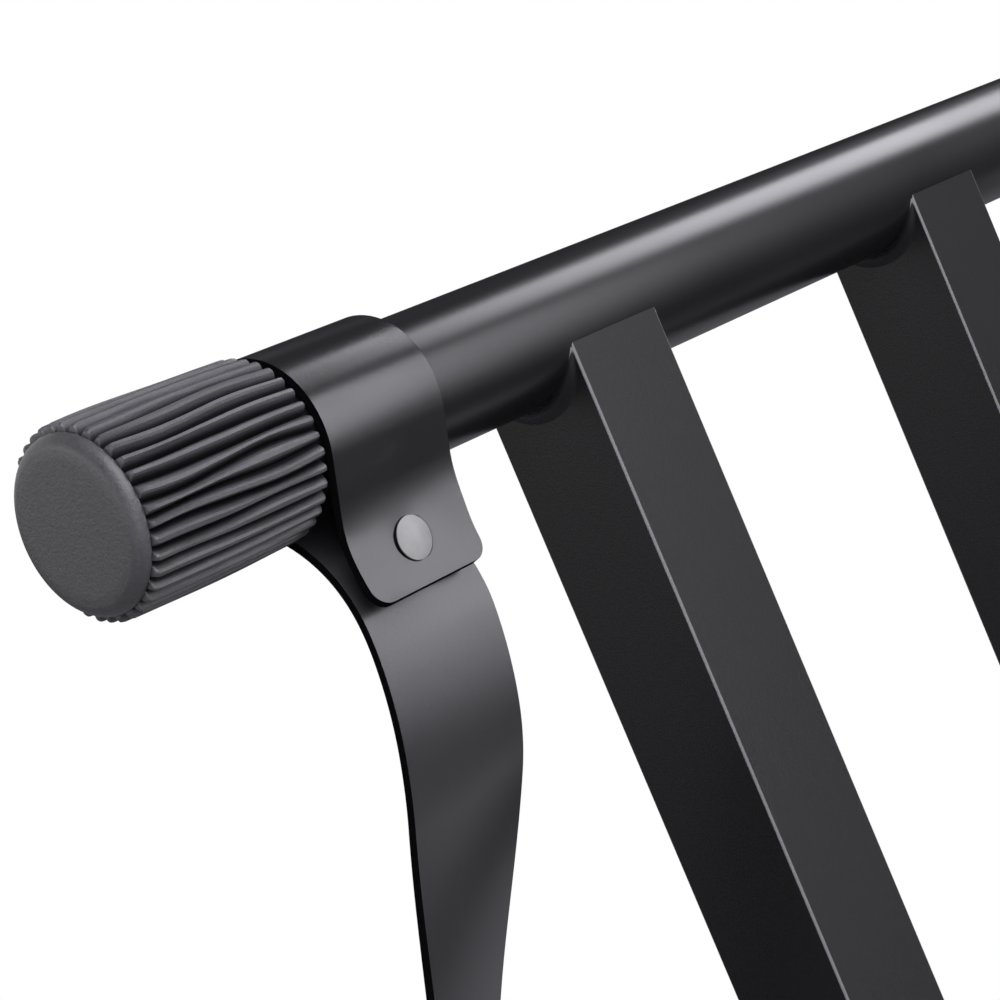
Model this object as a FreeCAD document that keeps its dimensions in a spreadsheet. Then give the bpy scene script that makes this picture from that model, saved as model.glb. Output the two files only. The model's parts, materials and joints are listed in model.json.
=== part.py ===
import FreeCAD, Part
import math
import os
from types import SimpleNamespace

import Sketcher

# A double-braced folding keyboard stand.
# Two welded frames cross at one pivot: the outer frame carries the left support tube,
# the inner frame, between the outer frame's legs, carries the right one.
# Millimetres, +Z up, front at -Y, origin on the floor below the pivot.

SIZES = (
    # Frames
    ("overall_depth", 348, "front to rear over the grip caps"),
    ("leg_reach", 455, "pivot axis to tube axis, along a leg"),
    ("lean_angle", 30, "leg's lean from the vertical, degrees"),
    ("tube_diameter", 25, "support and foot tubes"),
    ("tube_wall", 1.5, "support and foot tubes"),
    ("tube_offset", 0.5, "tube axis off the leg's middle plane, towards the inside"),
    ("leg_width", 25, "square leg tube"),
    ("leg_wall", 1.5, "square leg tube"),
    ("leg_corner", 0.5, "outer corner radius of the leg tube"),
    ("leg_setback", 2, "square end of a leg, short of the tube axis"),
    ("weld_gap", 0.1, "fit-up gap between coped leg and tube"),
    ("outer_leg_spacing", 116, "outer frame's legs, middle to middle"),
    ("frame_gap", 2.5, "between an outer leg and its inner neighbour"),
    # Ribbed grip caps
    ("grip_length", 37.6, "grip cap"),
    ("grip_end", 3, "thickness of the grip cap's closed end"),
    ("rib_diameter", 32, "over the ribs, at their fullest"),
    ("rib_front_diameter", 31.5, "over the ribs, behind the end disc"),
    ("rib_back_diameter", 31, "over the ribs, at the cap's open end"),
    ("rib_swell", 11.8, "from the closed end to where the ribs are fullest"),
    ("rib_count", 36, "ribs round a grip cap"),
    ("groove_width", 2.2, "diameter of the round-bottomed grooves"),
    ("face_diameter", 30.6, "smooth end disc of the grip cap"),
    ("face_step", 1.7, "end disc, ahead of the narrow groove"),
    ("face_round", 1.5, "edge radius of the end disc"),
    ("neck_diameter", 29, "narrow groove behind the end disc"),
    ("neck_width", 0.4, "narrow groove behind the end disc"),
    ("cap_fit", 0.05, "clearance between a cap's bore and its tube"),
    # Rubber foot caps
    ("foot_length", 46, "foot cap"),
    ("foot_end", 4, "thickness of the foot cap's closed end"),
    ("foot_diameter", 34, "foot cap"),
    ("foot_round", 3, "outer edge radius of the foot cap"),
    ("tread_cut", 1.5, "flat tread, cut into the foot cap's round"),
    ("tread_groove_width", 2, "tread grooves round the foot cap"),
    ("tread_groove_depth", 0.8, "tread grooves round the foot cap"),
    ("tread_groove_count", 3, "tread grooves round the foot cap"),
    # Straps
    ("strap_width", 27, "strap"),
    ("strap_thickness", 2, "strap"),
    ("strap_play", 0.3, "between the strap's loop and the tube"),
    ("strap_inset", 1.8, "between the grip cap and the strap"),
    ("strap_corner", 5, "corner radius of the strap's two ends"),
    ("tab_lean", 9, "lean of the tab where it leaves the loop, degrees"),
    ("tab_straight", 8, "straight of the tab, from the loop to the flare"),
    ("tab_radius", 30, "flare of the tab away from the tube, at mid thickness"),
    ("tab_turn", 35, "turn of the tab's flare, degrees"),
    ("tab_gap", 0.5, "least gap between tab and tail"),
    ("tail_bend_radius", 27, "first bend of the tail, at mid thickness"),
    ("tail_bend_turn", 65, "turn of the first bend, degrees"),
    ("tail_ease_radius", 69, "easy bend that brings the tail to the vertical"),
    ("tail_drop", 300, "straight hanging end of the tail"),
    ("pad_length", 80, "hook and loop pads on the tail"),
    ("pad_thickness", 1.2, "hook and loop pads"),
    ("pad_margin", 2.5, "bare strap round a pad"),
    ("rivet_head_diameter", 7.5, "rivet"),
    ("rivet_head_height", 1.6, "rivet"),
    ("rivet_shank_diameter", 3, "rivet"),
    ("rivet_burr_diameter", 6, "closed end of the rivet, behind the tail"),
    ("rivet_burr_height", 0.8, "closed end of the rivet"),
    # Pivot
    ("axle_diameter", 12, "pivot axle"),
    ("axle_tail", 2, "axle end beyond each nut"),
    ("bush_diameter", 16, "pivot bush, through the outer leg"),
    ("bush_flange_diameter", 23, "pivot bush"),
    ("bush_stand", 3, "bush end beyond the outer leg"),
    ("running_fit", 0.05, "radial clearance of axle and pins in their bores"),
    ("moving_gap", 0.3, "between faces that pass each other"),
    ("spacer_diameter", 18, "tube between the inner legs"),
    ("washer_diameter", 26, "pivot washers"),
    ("washer_thickness", 1.5, "pivot washers"),
    ("nut_corner_diameter", 21, "pivot nuts, over the corners"),
    ("nut_height", 7, "pivot nuts"),
    ("nut_chamfer", 1, "corners of the pivot nuts, turned off at both ends"),
    # Height lock
    ("disc_diameter", 76, "lock disc"),
    ("disc_thickness", 5, "lock disc and trigger lever"),
    ("disc_round", 1, "rim edge radius of the lock disc"),
    ("key_width", 9, "across the axle's two flats"),
    ("lever_pin_diameter", 6, "lever pin"),
    ("lever_hub_diameter", 17, "trigger lever round its pin"),
    ("cam_diameter", 16, "friction cam of the trigger lever"),
    ("cam_lead", 3, "cam centre beside the lever pin"),
    ("cam_throw", 7.7, "cam centre below the lever pin"),
    ("cam_gap", 0.4, "between cam and disc"),
    ("handle_length", 66, "trigger lever, from its pin"),
    ("handle_width", 12, "trigger lever"),
    ("handle_droop", 12, "trigger lever's rest below square to the leg, degrees"),
    ("trigger_grip_length", 42, "moulded grip on the trigger lever"),
    ("trigger_grip_wall", 2, "moulded grip"),
    ("bracket_sheet", 2.5, "lock bracket"),
    ("bracket_width", 24, "lock bracket"),
    ("bracket_foot", 32, "lock bracket's foot on the leg"),
    ("bracket_web_gap", 14, "from the lever pin up to the bracket's web"),
    ("bracket_lip", 10, "bracket front plate below the lever pin"),
    ("bracket_bend", 2, "outer bend radius of the bracket"),
    ("spring_wire", 1, "trigger return spring"),
    ("spring_diameter", 10.5, "trigger return spring, at mid wire"),
    ("spring_pitch", 1.6, "trigger return spring"),
    ("spring_turns", 3, "trigger return spring"),
    ("spring_arm", 7, "straight ends of the spring"),
    ("pin_head_diameter", 10, "lever pin's head"),
    ("pin_head_height", 1.5, "lever pin's head"),
    ("screw_diameter", 5, "bracket screws"),
    ("screw_head_diameter", 9, "bracket screws"),
    ("screw_head_height", 3, "bracket screws"),
    ("screw_grip", 4, "screw end inside the leg"),
    ("screw_spacing", 16, "bracket screws, along the leg"),
    # Making
    ("overrun", 5, "cuts, past the surface that they leave by"),
)

# Where the rivet sits along the tab's flare
RIVET_TURN_SHARE = 0.57
# Edge rounds, of the thickness that they round
RIVET_DOME_SHARE = 0.88
TRIGGER_GRIP_ROUND_SHARE = 0.9

# Two lengths or directions this close are the same
SAME = 1e-4

doc = FreeCAD.newDocument("keyboard_stand")
sheet = doc.addObject("Spreadsheet::Sheet", "sizes")
for row, (alias, amount, meaning) in enumerate(SIZES, start=1):
    sheet.set(f"A{row}", meaning)
    sheet.set(f"B{row}", str(amount))
    sheet.setAlias(f"B{row}", alias)
doc.recompute()


class Size:
    """A cell of the sheet, or a sum of cells: its text for the document and its number."""

    def __init__(self, text, number):
        self.text = text
        self.number = number

    def join(self, sign, other, number):
        return Size(f"({self.text} {sign} {as_size(other).text})", number)

    def __add__(self, other):
        return self.join("+", other, self.number + float(other))

    def __sub__(self, other):
        return self.join("-", other, self.number - float(other))

    def __mul__(self, other):
        return self.join("*", other, self.number * float(other))

    def __truediv__(self, other):
        return self.join("/", other, self.number / float(other))

    def __neg__(self):
        return Size(f"(0 - {self.text})", -self.number)

    def __float__(self):
        return float(self.number)


def as_size(term):
    return term if isinstance(term, Size) else Size(repr(term), term)


def root(term):
    return Size(f"sqrt({term.text})", math.sqrt(term.number))


at = SimpleNamespace(**{name: Size(f"sizes.{name}", sheet.get(name)) for name, _, _ in SIZES})


def vector(across, deep, up):
    return FreeCAD.Vector(float(across), float(deep), float(up))


# Sizes worked out from the sheet
lean = math.radians(float(at.lean_angle))
tube_radius = at.tube_diameter / 2
outer_leg_middle = at.outer_leg_spacing / 2
leg_front = outer_leg_middle + at.leg_width / 2
inner_leg_middle = outer_leg_middle - at.leg_width - at.frame_gap
tube_length = at.overall_depth - at.grip_end * 2
disc_back = leg_front + at.bush_stand + at.moving_gap
disc_front = disc_back + at.disc_thickness
spring_room = at.spring_pitch * at.spring_turns + at.spring_wire + at.moving_gap * 2
plate_back = disc_front + spring_room
plate_front = plate_back + at.bracket_sheet
tread_height = at.foot_diameter / 2 - at.tread_cut
pivot_height = (
    float(tread_height) + float(at.leg_reach) * math.cos(lean) - float(at.tube_offset) * math.sin(lean)
)

X_AXIS = FreeCAD.Vector(1, 0, 0)
Y_AXIS = FreeCAD.Vector(0, 1, 0)
Z_AXIS = FreeCAD.Vector(0, 0, 1)
UNTURNED = FreeCAD.Rotation()
ALONG_DEPTH = FreeCAD.Rotation(X_AXIS, -90)
HALF_TURN = FreeCAD.Placement(FreeCAD.Vector(), FreeCAD.Rotation(Z_AXIS, 180))

# Each frame is drawn upright about its pivot, then leaned; the inner one is also turned round.
OUTER_FRAME = FreeCAD.Placement(
    FreeCAD.Vector(0, 0, pivot_height), FreeCAD.Rotation(Y_AXIS, -float(at.lean_angle))
)
INNER_FRAME = HALF_TURN.multiply(OUTER_FRAME)


def tube_axis_point(frame, side):
    """Middle of a frame's support tube (side 1) or foot tube (side -1)."""
    return frame.multVec(vector(at.tube_offset, 0, at.leg_reach * side))


def shift(across, deep, up, turn=UNTURNED):
    return FreeCAD.Placement(vector(across, deep, up), turn)


def bind(item, **sizes):
    for name, size in sizes.items():
        item.setExpression(name, size.text)
    return item


def box(name, across, deep, up, place):
    item = bind(doc.addObject("Part::Box", name), Length=across, Width=deep, Height=up)
    item.Placement = place
    return item


def rod(name, diameter, length, place):
    """A cylinder that starts at its place and runs along the place's own Z."""
    item = bind(doc.addObject("Part::Cylinder", name), Radius=diameter / 2, Height=length)
    item.Placement = place
    return item


def joined(kind, name, base, tool, place=None):
    item = doc.addObject(f"Part::{kind}", name)
    item.Base = base
    item.Tool = tool
    if place:
        item.Placement = place
    return item


def cut(name, base, *tools, place=None):
    for number, tool in enumerate(tools, start=1):
        last = number == len(tools)
        label = name if last else f"{name}_cut_{number}"
        base = joined("Cut", label, base, tool, place if last else None)
    return base


def ring(name, diameter, bore, length, place):
    """A tube, bush, washer or spacer, from its place along the place's own Z."""
    start = shift(0, 0, 0)
    body = rod(f"{name}_body", diameter, length, start)
    hole = rod(f"{name}_bore", bore, length + at.overrun * 2, shift(0, 0, -at.overrun))
    return cut(name, body, hole, place=place)


def rounded(name, base, radius, wanted, kind="Fillet"):
    """A copy of a base with its wanted edges rounded, or chamfered."""
    doc.recompute()
    numbers = [n for n, edge in enumerate(base.Shape.Edges, start=1) if wanted(edge)]
    item = doc.addObject(f"Part::{kind}", name)
    item.Base = base
    item.Edges = [(number, float(radius), float(radius)) for number in numbers]
    return item


def along(edge, axis):
    """True for a straight edge that runs along an axis."""
    if not isinstance(edge.Curve, Part.Line):
        return False
    return abs(abs(edge.Curve.Direction.dot(axis)) - 1) < SAME


def origin_plane(body, role):
    return next(plane for plane in body.Origin.OriginFeatures if plane.Role == role)


def new_sketch(body, name, role):
    sketch = body.newObject("Sketcher::SketchObject", name)
    sketch.AttachmentSupport = [(origin_plane(body, role), "")]
    sketch.MapMode = "FlatFace"
    return sketch


def hold(sketch, curve, point, across, up):
    """Tie a point of a sketch to the sizes that place it."""
    for kind, axis, size in (("DistanceX", -2, across), ("DistanceY", -1, up)):
        size = as_size(size)
        if float(size) == 0:
            sketch.addConstraint(Sketcher.Constraint("PointOnObject", curve, point, axis))
            continue
        number = sketch.addConstraint(Sketcher.Constraint(kind, -1, 1, curve, point, float(size)))
        sketch.setExpression(f"Constraints[{number}]", size.text)


def outline(sketch, corners):
    """A closed outline of straight lines through corners given in sizes."""
    spots = [vector(across, up, 0) for across, up in corners]
    for start, end in zip(spots, spots[1:] + spots[:1]):
        sketch.addGeometry(Part.LineSegment(start, end))
    for number, (across, up) in enumerate(corners):
        following = (number + 1) % len(corners)
        sketch.addConstraint(Sketcher.Constraint("Coincident", number, 2, following, 1))
        hold(sketch, number, 1, across, up)


def circle(sketch, diameter, across, up):
    number = sketch.addGeometry(Part.Circle(vector(across, up, 0), Z_AXIS, float(diameter) / 2))
    hold(sketch, number, 3, across, up)
    size = sketch.addConstraint(Sketcher.Constraint("Diameter", number, float(diameter)))
    sketch.setExpression(f"Constraints[{size}]", diameter.text)


def turned(name, corners, place):
    """A body turned on its own Z axis from a half profile of (radius, height) corners."""
    body = doc.addObject("PartDesign::Body", name)
    sketch = new_sketch(body, f"{name}_profile", "XZ_Plane")
    outline(sketch, corners)
    revolution = body.newObject("PartDesign::Revolution", f"{name}_turned")
    revolution.Profile = sketch
    revolution.ReferenceAxis = (sketch, ["V_Axis"])
    revolution.Angle = 360
    body.Placement = place
    doc.recompute()
    return body


def softened(body, name, radius, wanted):
    """Round the wanted edges of a body's latest feature."""
    base = body.Tip
    edges = [f"Edge{n}" for n, edge in enumerate(base.Shape.Edges, start=1) if wanted(edge)]
    fillet = body.newObject("PartDesign::Fillet", name)
    fillet.Base = (base, edges)
    bind(fillet, Radius=radius)
    doc.recompute()


def pocket_through(body, name, sketch):
    """Cut a sketch through the whole body, both ways."""
    before = body.Shape.Volume
    pocket = body.newObject("PartDesign::Pocket", name)
    pocket.Profile = sketch
    pocket.Type = "ThroughAll"
    pocket.Midplane = True
    doc.recompute()
    if body.Shape.Volume >= before:
        raise RuntimeError(f"{name} cuts nothing")
    return pocket


def padded(name, role, draw, thickness, place):
    """A plate: a drawn outline, given its thickness to both sides of its plane."""
    body = doc.addObject("PartDesign::Body", name)
    sketch = new_sketch(body, f"{name}_outline", role)
    draw(sketch)
    pad = body.newObject("PartDesign::Pad", f"{name}_plate")
    pad.Profile = sketch
    pad.Midplane = True
    bind(pad, Length=thickness)
    body.Placement = place
    doc.recompute()
    return body


def is_circle_of(edge, diameter, height):
    """True for a full circle of a diameter at a height on the body's own axis."""
    if not isinstance(edge.Curve, Part.Circle):
        return False
    same_size = abs(edge.Curve.Radius - float(diameter) / 2) < SAME
    return same_size and abs(edge.Curve.Center.z - float(height)) < SAME


# Frames
def leg(name, frame, middle, hole, extra_cuts=()):
    """A square tube, coped over both round tubes and bored for the pivot."""
    half = at.leg_width / 2
    length = (at.leg_reach - at.leg_setback) * 2
    inside = at.leg_width - at.leg_wall * 2
    bar = box(f"{name}_bar", at.leg_width, at.leg_width, length, shift(-half, -half, -length / 2))
    stock = rounded(f"{name}_stock", bar, at.leg_corner, lambda edge: along(edge, Z_AXIS))
    hollow = box(
        f"{name}_hollow", inside, inside, length + at.overrun * 2,
        shift(-inside / 2, -inside / 2, -length / 2 - at.overrun),
    )
    across = at.leg_width + at.overrun * 2
    copes = [
        rod(
            f"{name}_cope_{side}", at.tube_diameter + at.weld_gap * 2, across,
            shift(at.tube_offset, -across / 2, at.leg_reach * side, ALONG_DEPTH),
        )
        for side in (1, -1)
    ]
    bore = rod(f"{name}_pivot_hole", hole, across, shift(0, -across / 2, 0, ALONG_DEPTH))
    return cut(name, stock, hollow, *copes, bore, *extra_cuts,
               place=frame.multiply(shift(0, middle, 0)))


def round_tube(name, frame, side):
    start = shift(at.tube_offset, -tube_length / 2, at.leg_reach * side, ALONG_DEPTH)
    bore = at.tube_diameter - at.tube_wall * 2
    return ring(name, at.tube_diameter, bore, tube_length, frame.multiply(start))


def end_placement(axis_point, outer_end, end):
    """At the front (end -1) or rear (end 1) of a tube, with Z pointing into the tube."""
    inward = FreeCAD.Placement(vector(0, -outer_end, 0), ALONG_DEPTH)
    if end > 0:
        inward = HALF_TURN.multiply(inward)
    return FreeCAD.Placement(axis_point, UNTURNED).multiply(inward)


def grip_cap(name, place):
    """A rubber sleeve with a closed end, a smooth end disc and long rounded ribs that swell a little."""
    bore = tube_radius + at.cap_fit
    crest = at.rib_diameter / 2
    ribs_start = at.face_step + at.neck_width
    body = turned(name, [
        (0, 0),
        (at.face_diameter / 2, 0),
        (at.face_diameter / 2, at.face_step),
        (at.neck_diameter / 2, at.face_step),
        (at.neck_diameter / 2, ribs_start),
        (at.rib_front_diameter / 2, ribs_start),
        (crest, at.rib_swell),
        (at.rib_back_diameter / 2, at.grip_length),
        (bore, at.grip_length),
        (bore, at.grip_end),
        (0, at.grip_end),
    ], place)
    softened(body, f"{name}_face_edge", at.face_round,
             lambda edge: is_circle_of(edge, at.face_diameter, 0))
    sketch = new_sketch(body, f"{name}_groove_end", "XY_Plane")
    circle(sketch, at.groove_width, crest, 0)
    groove = pocket_through(body, f"{name}_groove", sketch)
    pattern = body.newObject("PartDesign::PolarPattern", f"{name}_grooves")
    pattern.Originals = [groove]
    pattern.Axis = (sketch, ["N_Axis"])
    pattern.Angle = 360
    bind(pattern, Occurrences=at.rib_count)
    body.Tip = pattern
    doc.recompute()
    return body


def foot_cap(name, place):
    """A rubber foot with tread grooves and a flat where it stands on the floor."""
    bore = tube_radius + at.cap_fit
    rim = at.foot_diameter / 2
    groove_floor = rim - at.tread_groove_depth
    corners = [(0, 0), (rim, 0)]
    count = int(float(at.tread_groove_count))
    for number in range(1, count + 1):
        middle = at.foot_length * number / (count + 1)
        start = middle - at.tread_groove_width / 2
        end = middle + at.tread_groove_width / 2
        corners += [(rim, start), (groove_floor, start), (groove_floor, end), (rim, end)]
    corners += [(rim, at.foot_length), (bore, at.foot_length), (bore, at.foot_end), (0, at.foot_end)]
    body = turned(name, corners, place)
    softened(body, f"{name}_edge", at.foot_round,
             lambda edge: is_circle_of(edge, at.foot_diameter, 0))
    sketch = new_sketch(body, f"{name}_tread_outline", "XY_Plane")
    wide = rim + at.overrun
    outline(sketch, [
        (-wide, tread_height), (wide, tread_height), (wide, wide), (-wide, wide),
    ])
    pocket_through(body, f"{name}_tread", sketch)
    return body


# Straps
class Band:
    """A flat band drawn from the side: its two faces grow as the walk runs and turns."""

    def __init__(self, start, heading, thickness):
        self.spot = start
        self.heading = heading
        self.half = thickness / 2
        self.left = []
        self.right = []

    def side(self, sign):
        """The point of one face abreast of the walk."""
        normal = FreeCAD.Vector(-math.sin(self.heading), 0, math.cos(self.heading))
        return self.spot + normal * (self.half * sign)

    def ahead(self):
        return FreeCAD.Vector(math.cos(self.heading), 0, math.sin(self.heading))

    def run(self, length):
        starts = self.side(1), self.side(-1)
        self.spot = self.spot + self.ahead() * length
        self.left.append(Part.LineSegment(starts[0], self.side(1)).toShape())
        self.right.append(Part.LineSegment(starts[1], self.side(-1)).toShape())

    def step(self, radius, turn):
        normal = FreeCAD.Vector(-math.sin(self.heading), 0, math.cos(self.heading))
        centre = self.spot + normal * math.copysign(radius, turn)
        swing = FreeCAD.Rotation(Y_AXIS, -math.degrees(turn))
        self.spot = centre + swing.multVec(self.spot - centre)
        self.heading += turn

    def turn(self, radius, degrees):
        """Arc to the left (positive degrees) or to the right."""
        half_turn = math.radians(degrees) / 2
        marks = [(self.side(1), self.side(-1))]
        for _ in range(2):
            self.step(radius, half_turn)
            marks.append((self.side(1), self.side(-1)))
        lefts, rights = zip(*marks)
        self.left.append(Part.Arc(*lefts).toShape())
        self.right.append(Part.Arc(*rights).toShape())

    def face(self):
        start = Part.LineSegment(self.left[0].Vertexes[0].Point, self.right[0].Vertexes[0].Point)
        end = Part.LineSegment(self.left[-1].Vertexes[-1].Point, self.right[-1].Vertexes[-1].Point)
        edges = self.left + self.right + [start.toShape(), end.toShape()]
        return Part.Face(Part.Wire(Part.__sortEdges__(edges)))


loop_radius = tube_radius + at.strap_play + at.strap_thickness / 2
tail_ease_turn = 90 - float(at.tail_bend_turn)
rivet_turn = float(at.tab_turn) * RIVET_TURN_SHARE


def bearing(degrees):
    """A direction in the strap's side view, from +X towards +Z."""
    return FreeCAD.Vector(math.cos(math.radians(degrees)), 0, math.sin(math.radians(degrees)))


def flare_centre():
    """Centre of the tab's flare, about the tube axis."""
    leaving = float(at.tab_lean)
    outward = bearing(leaving) * float(loop_radius + at.tab_radius)
    return outward - bearing(leaving + 90) * float(at.tab_straight)


def loop_turn():
    """Degrees round the tube, from the tab to where the tail leaves it just clear of the tab."""
    flare = flare_centre()
    to_flare = flare.Length
    to_bend = float(loop_radius + at.tail_bend_radius)
    apart = float(at.tab_radius + at.tail_bend_radius + at.strap_thickness + at.tab_gap)
    cosine = (to_bend ** 2 + to_flare ** 2 - apart ** 2) / (2 * to_bend * to_flare)
    leaving = math.degrees(math.atan2(flare.z, flare.x) - math.acos(cosine))
    return 360 + leaving - float(at.tab_lean)


def rivet_place():
    """On the tab's outer face, with Z pointing out of it, about the tube axis."""
    outward = bearing(float(at.tab_lean) + rivet_turn)
    spot = flare_centre() - outward * float(at.tab_radius - at.strap_thickness / 2)
    return FreeCAD.Placement(spot, FreeCAD.Rotation(Z_AXIS, outward))


def tab_start():
    """The tab's end at mid thickness, about the tube axis, and the way from it into the strap."""
    turn = float(at.tab_lean + at.tab_turn)
    return flare_centre() - bearing(turn) * float(at.tab_radius), bearing(turn + 90)


def strap_band():
    """From the tab's end over the tube, round behind and under it, and down the tail."""
    start, way = tab_start()
    band = Band(start, math.atan2(way.z, way.x), float(at.strap_thickness))
    band.turn(float(at.tab_radius), -float(at.tab_turn))
    band.run(float(at.tab_straight))
    around = loop_turn()
    for _ in range(3):
        band.turn(float(loop_radius), around / 3)
    rise_at_leaving = float(at.tab_lean) + around - 270
    band.turn(float(at.tail_bend_radius), -float(at.tail_bend_turn) - rise_at_leaving)
    band.turn(float(at.tail_ease_radius), -tail_ease_turn)
    straight_start = band.spot
    band.run(float(at.tail_drop))
    return band, straight_start


def round_off(solid, end, off_end):
    """Round both corners of a band's end; off_end points away from the band there."""
    corner = float(at.strap_corner)
    past = float(at.overrun)
    deep = float(at.strap_thickness) + past
    inset = float(at.strap_width) / 2 - corner
    block = Part.makeBox(corner + past, corner + past, deep * 2, FreeCAD.Vector(-corner, inset, -deep))
    post = Part.makeCylinder(corner, deep * 2, FreeCAD.Vector(-corner, inset, -deep))
    spandrel = block.cut(post)
    place = FreeCAD.Placement(end, FreeCAD.Rotation(off_end, Y_AXIS, off_end.cross(Y_AXIS), "XYZ"))
    for tool in (spandrel, spandrel.mirror(FreeCAD.Vector(), Y_AXIS)):
        tool.Placement = place.multiply(tool.Placement)
        solid = solid.cut(tool)
    return solid


def strap(name, place):
    """The band given its width, with rounded corners at both ends and the rivet's hole."""
    band, _ = strap_band()
    width = float(at.strap_width)
    solid = band.face().extrude(FreeCAD.Vector(0, width, 0))
    solid.translate(FreeCAD.Vector(0, -width / 2, 0))
    tab_end, tab_way = tab_start()
    solid = round_off(solid, tab_end, -tab_way)
    solid = round_off(solid, band.spot, band.ahead())
    item = doc.addObject("Part::Feature", name)
    item.Shape = solid.cut(rivet_hole()).cut(rivet_solid())
    item.Placement = place
    return item


def rivet_hole():
    """A round hole through tab and tail, on the rivet's axis."""
    through = float(at.overrun + at.strap_thickness * 2)
    hole = Part.makeCylinder(float(at.rivet_shank_diameter / 2 + at.cap_fit), through * 2)
    hole.Placement = rivet_place().multiply(shift(0, 0, -through))
    return hole


def rivet_grip():
    """Depth from the tab's outer face to the tail's back, on the rivet's axis."""
    band, _ = strap_band()
    probe_length = float(at.overrun + at.strap_thickness * 2)
    place = rivet_place()
    probe = Part.LineSegment(place.Base, place.multVec(FreeCAD.Vector(0, 0, -probe_length))).toShape()
    crossing = band.face().common(probe)
    depths = [-place.inverse().multVec(vertex.Point).z for vertex in crossing.Vertexes]
    return max(depths)


def rivet_solid():
    """A domed head, a shank through tab and tail, and a closed end, pressed into the strap."""
    head = at.rivet_head_diameter / 2
    shank = at.rivet_shank_diameter / 2
    burr = at.rivet_burr_diameter / 2
    grip = rivet_grip()
    far = -grip - float(at.rivet_burr_height)
    profile = Part.makePolygon([
        vector(0, 0, at.rivet_head_height),
        vector(head, 0, at.rivet_head_height),
        vector(head, 0, 0),
        vector(shank, 0, 0),
        vector(shank, 0, -grip),
        vector(burr, 0, -grip),
        vector(burr, 0, far),
        vector(0, 0, far),
        vector(0, 0, at.rivet_head_height),
    ])
    solid = Part.Face(profile).revolve(FreeCAD.Vector(), Z_AXIS, 360)
    crown = [edge for edge in solid.Edges
             if is_circle_of(edge, at.rivet_head_diameter, at.rivet_head_height)]
    solid = solid.makeFillet(float(at.rivet_head_height) * RIVET_DOME_SHARE, crown)
    solid.Placement = rivet_place()
    return solid


def rivet(name, place):
    item = doc.addObject("Part::Feature", name)
    item.Shape = rivet_solid()
    item.Placement = place.multiply(rivet_place())
    return item


def fastener_pad(name, place, number):
    """A hook or loop pad on the back of the tail, counted from the tail's end."""
    _, straight_start = strap_band()
    width = at.strap_width - at.pad_margin * 2
    back = straight_start.x - float(at.strap_thickness) / 2 - float(at.pad_thickness)
    tail_end = straight_start.z - float(at.tail_drop)
    low = tail_end + float(at.pad_margin + at.strap_corner / 2) + number * float(at.pad_length + at.pad_margin)
    block = box(f"{name}_block", at.pad_thickness, width, at.pad_length, shift(0, 0, 0))
    pad = rounded(name, block, at.pad_margin, lambda edge: along(edge, X_AXIS))
    pad.Placement = place.multiply(shift(back, -width / 2, low))
    return pad


# Pivot
def pivot_place(frame, from_front):
    """On the pivot axis at a depth given from the frame's middle, with Z towards the rear."""
    return frame.multiply(shift(0, from_front, 0, ALONG_DEPTH))


def pivot_bush(name, end):
    """A flanged bush through an outer leg, its flange between the two frames."""
    bore = (at.axle_diameter / 2) + at.running_fit
    sleeve = at.bush_diameter / 2
    flange = at.bush_flange_diameter / 2
    flange_thickness = at.frame_gap - at.moving_gap
    length = at.leg_width + at.bush_stand
    start = leg_front - at.leg_width - flange_thickness
    place = pivot_place(OUTER_FRAME, start)
    if end < 0:
        place = OUTER_FRAME.multiply(HALF_TURN).multiply(shift(0, start, 0, ALONG_DEPTH))
    return turned(name, [
        (bore, 0),
        (flange, 0),
        (flange, flange_thickness),
        (sleeve, flange_thickness),
        (sleeve, flange_thickness + length),
        (bore, flange_thickness + length),
    ], place)


def keyed(name, diameter, flats, length, place):
    """A round bar with two flats."""
    bar = rod(f"{name}_round", diameter, length, shift(0, 0, 0))
    plank = box(f"{name}_flats", flats, diameter, length, shift(-flats / 2, -diameter / 2, 0))
    return joined("Common", name, bar, plank, place)


axle_rear = disc_back + at.washer_thickness + at.nut_height + at.axle_tail
axle_front = disc_front + at.washer_thickness + at.nut_height + at.axle_tail


def pivot_axle():
    """Round through both frames, flatted for the lock disc, round again for the front nut."""
    shaft = rod("pivot_axle_shaft", at.axle_diameter, axle_rear + disc_back,
                shift(0, -disc_back, 0, ALONG_DEPTH))
    key = keyed("pivot_axle_key", at.axle_diameter, at.key_width, axle_front - disc_back,
                shift(0, -axle_front, 0, ALONG_DEPTH))
    return joined("Fuse", "pivot_axle", shaft, key, INNER_FRAME.multiply(HALF_TURN))


def lock_disc():
    bar = rod("lock_disc_blank", at.disc_diameter, at.disc_thickness, shift(0, 0, 0))
    rim = rounded("lock_disc_rim", bar, at.disc_round, lambda edge: isinstance(edge.Curve, Part.Circle))
    hole = keyed(
        "lock_disc_keyhole", at.axle_diameter + at.running_fit * 2, at.key_width + at.running_fit * 2,
        at.disc_thickness + at.overrun * 2, shift(0, 0, -at.overrun),
    )
    place = INNER_FRAME.multiply(HALF_TURN).multiply(shift(0, -disc_front, 0, ALONG_DEPTH))
    return cut("lock_disc", rim, hole, place=place)


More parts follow.
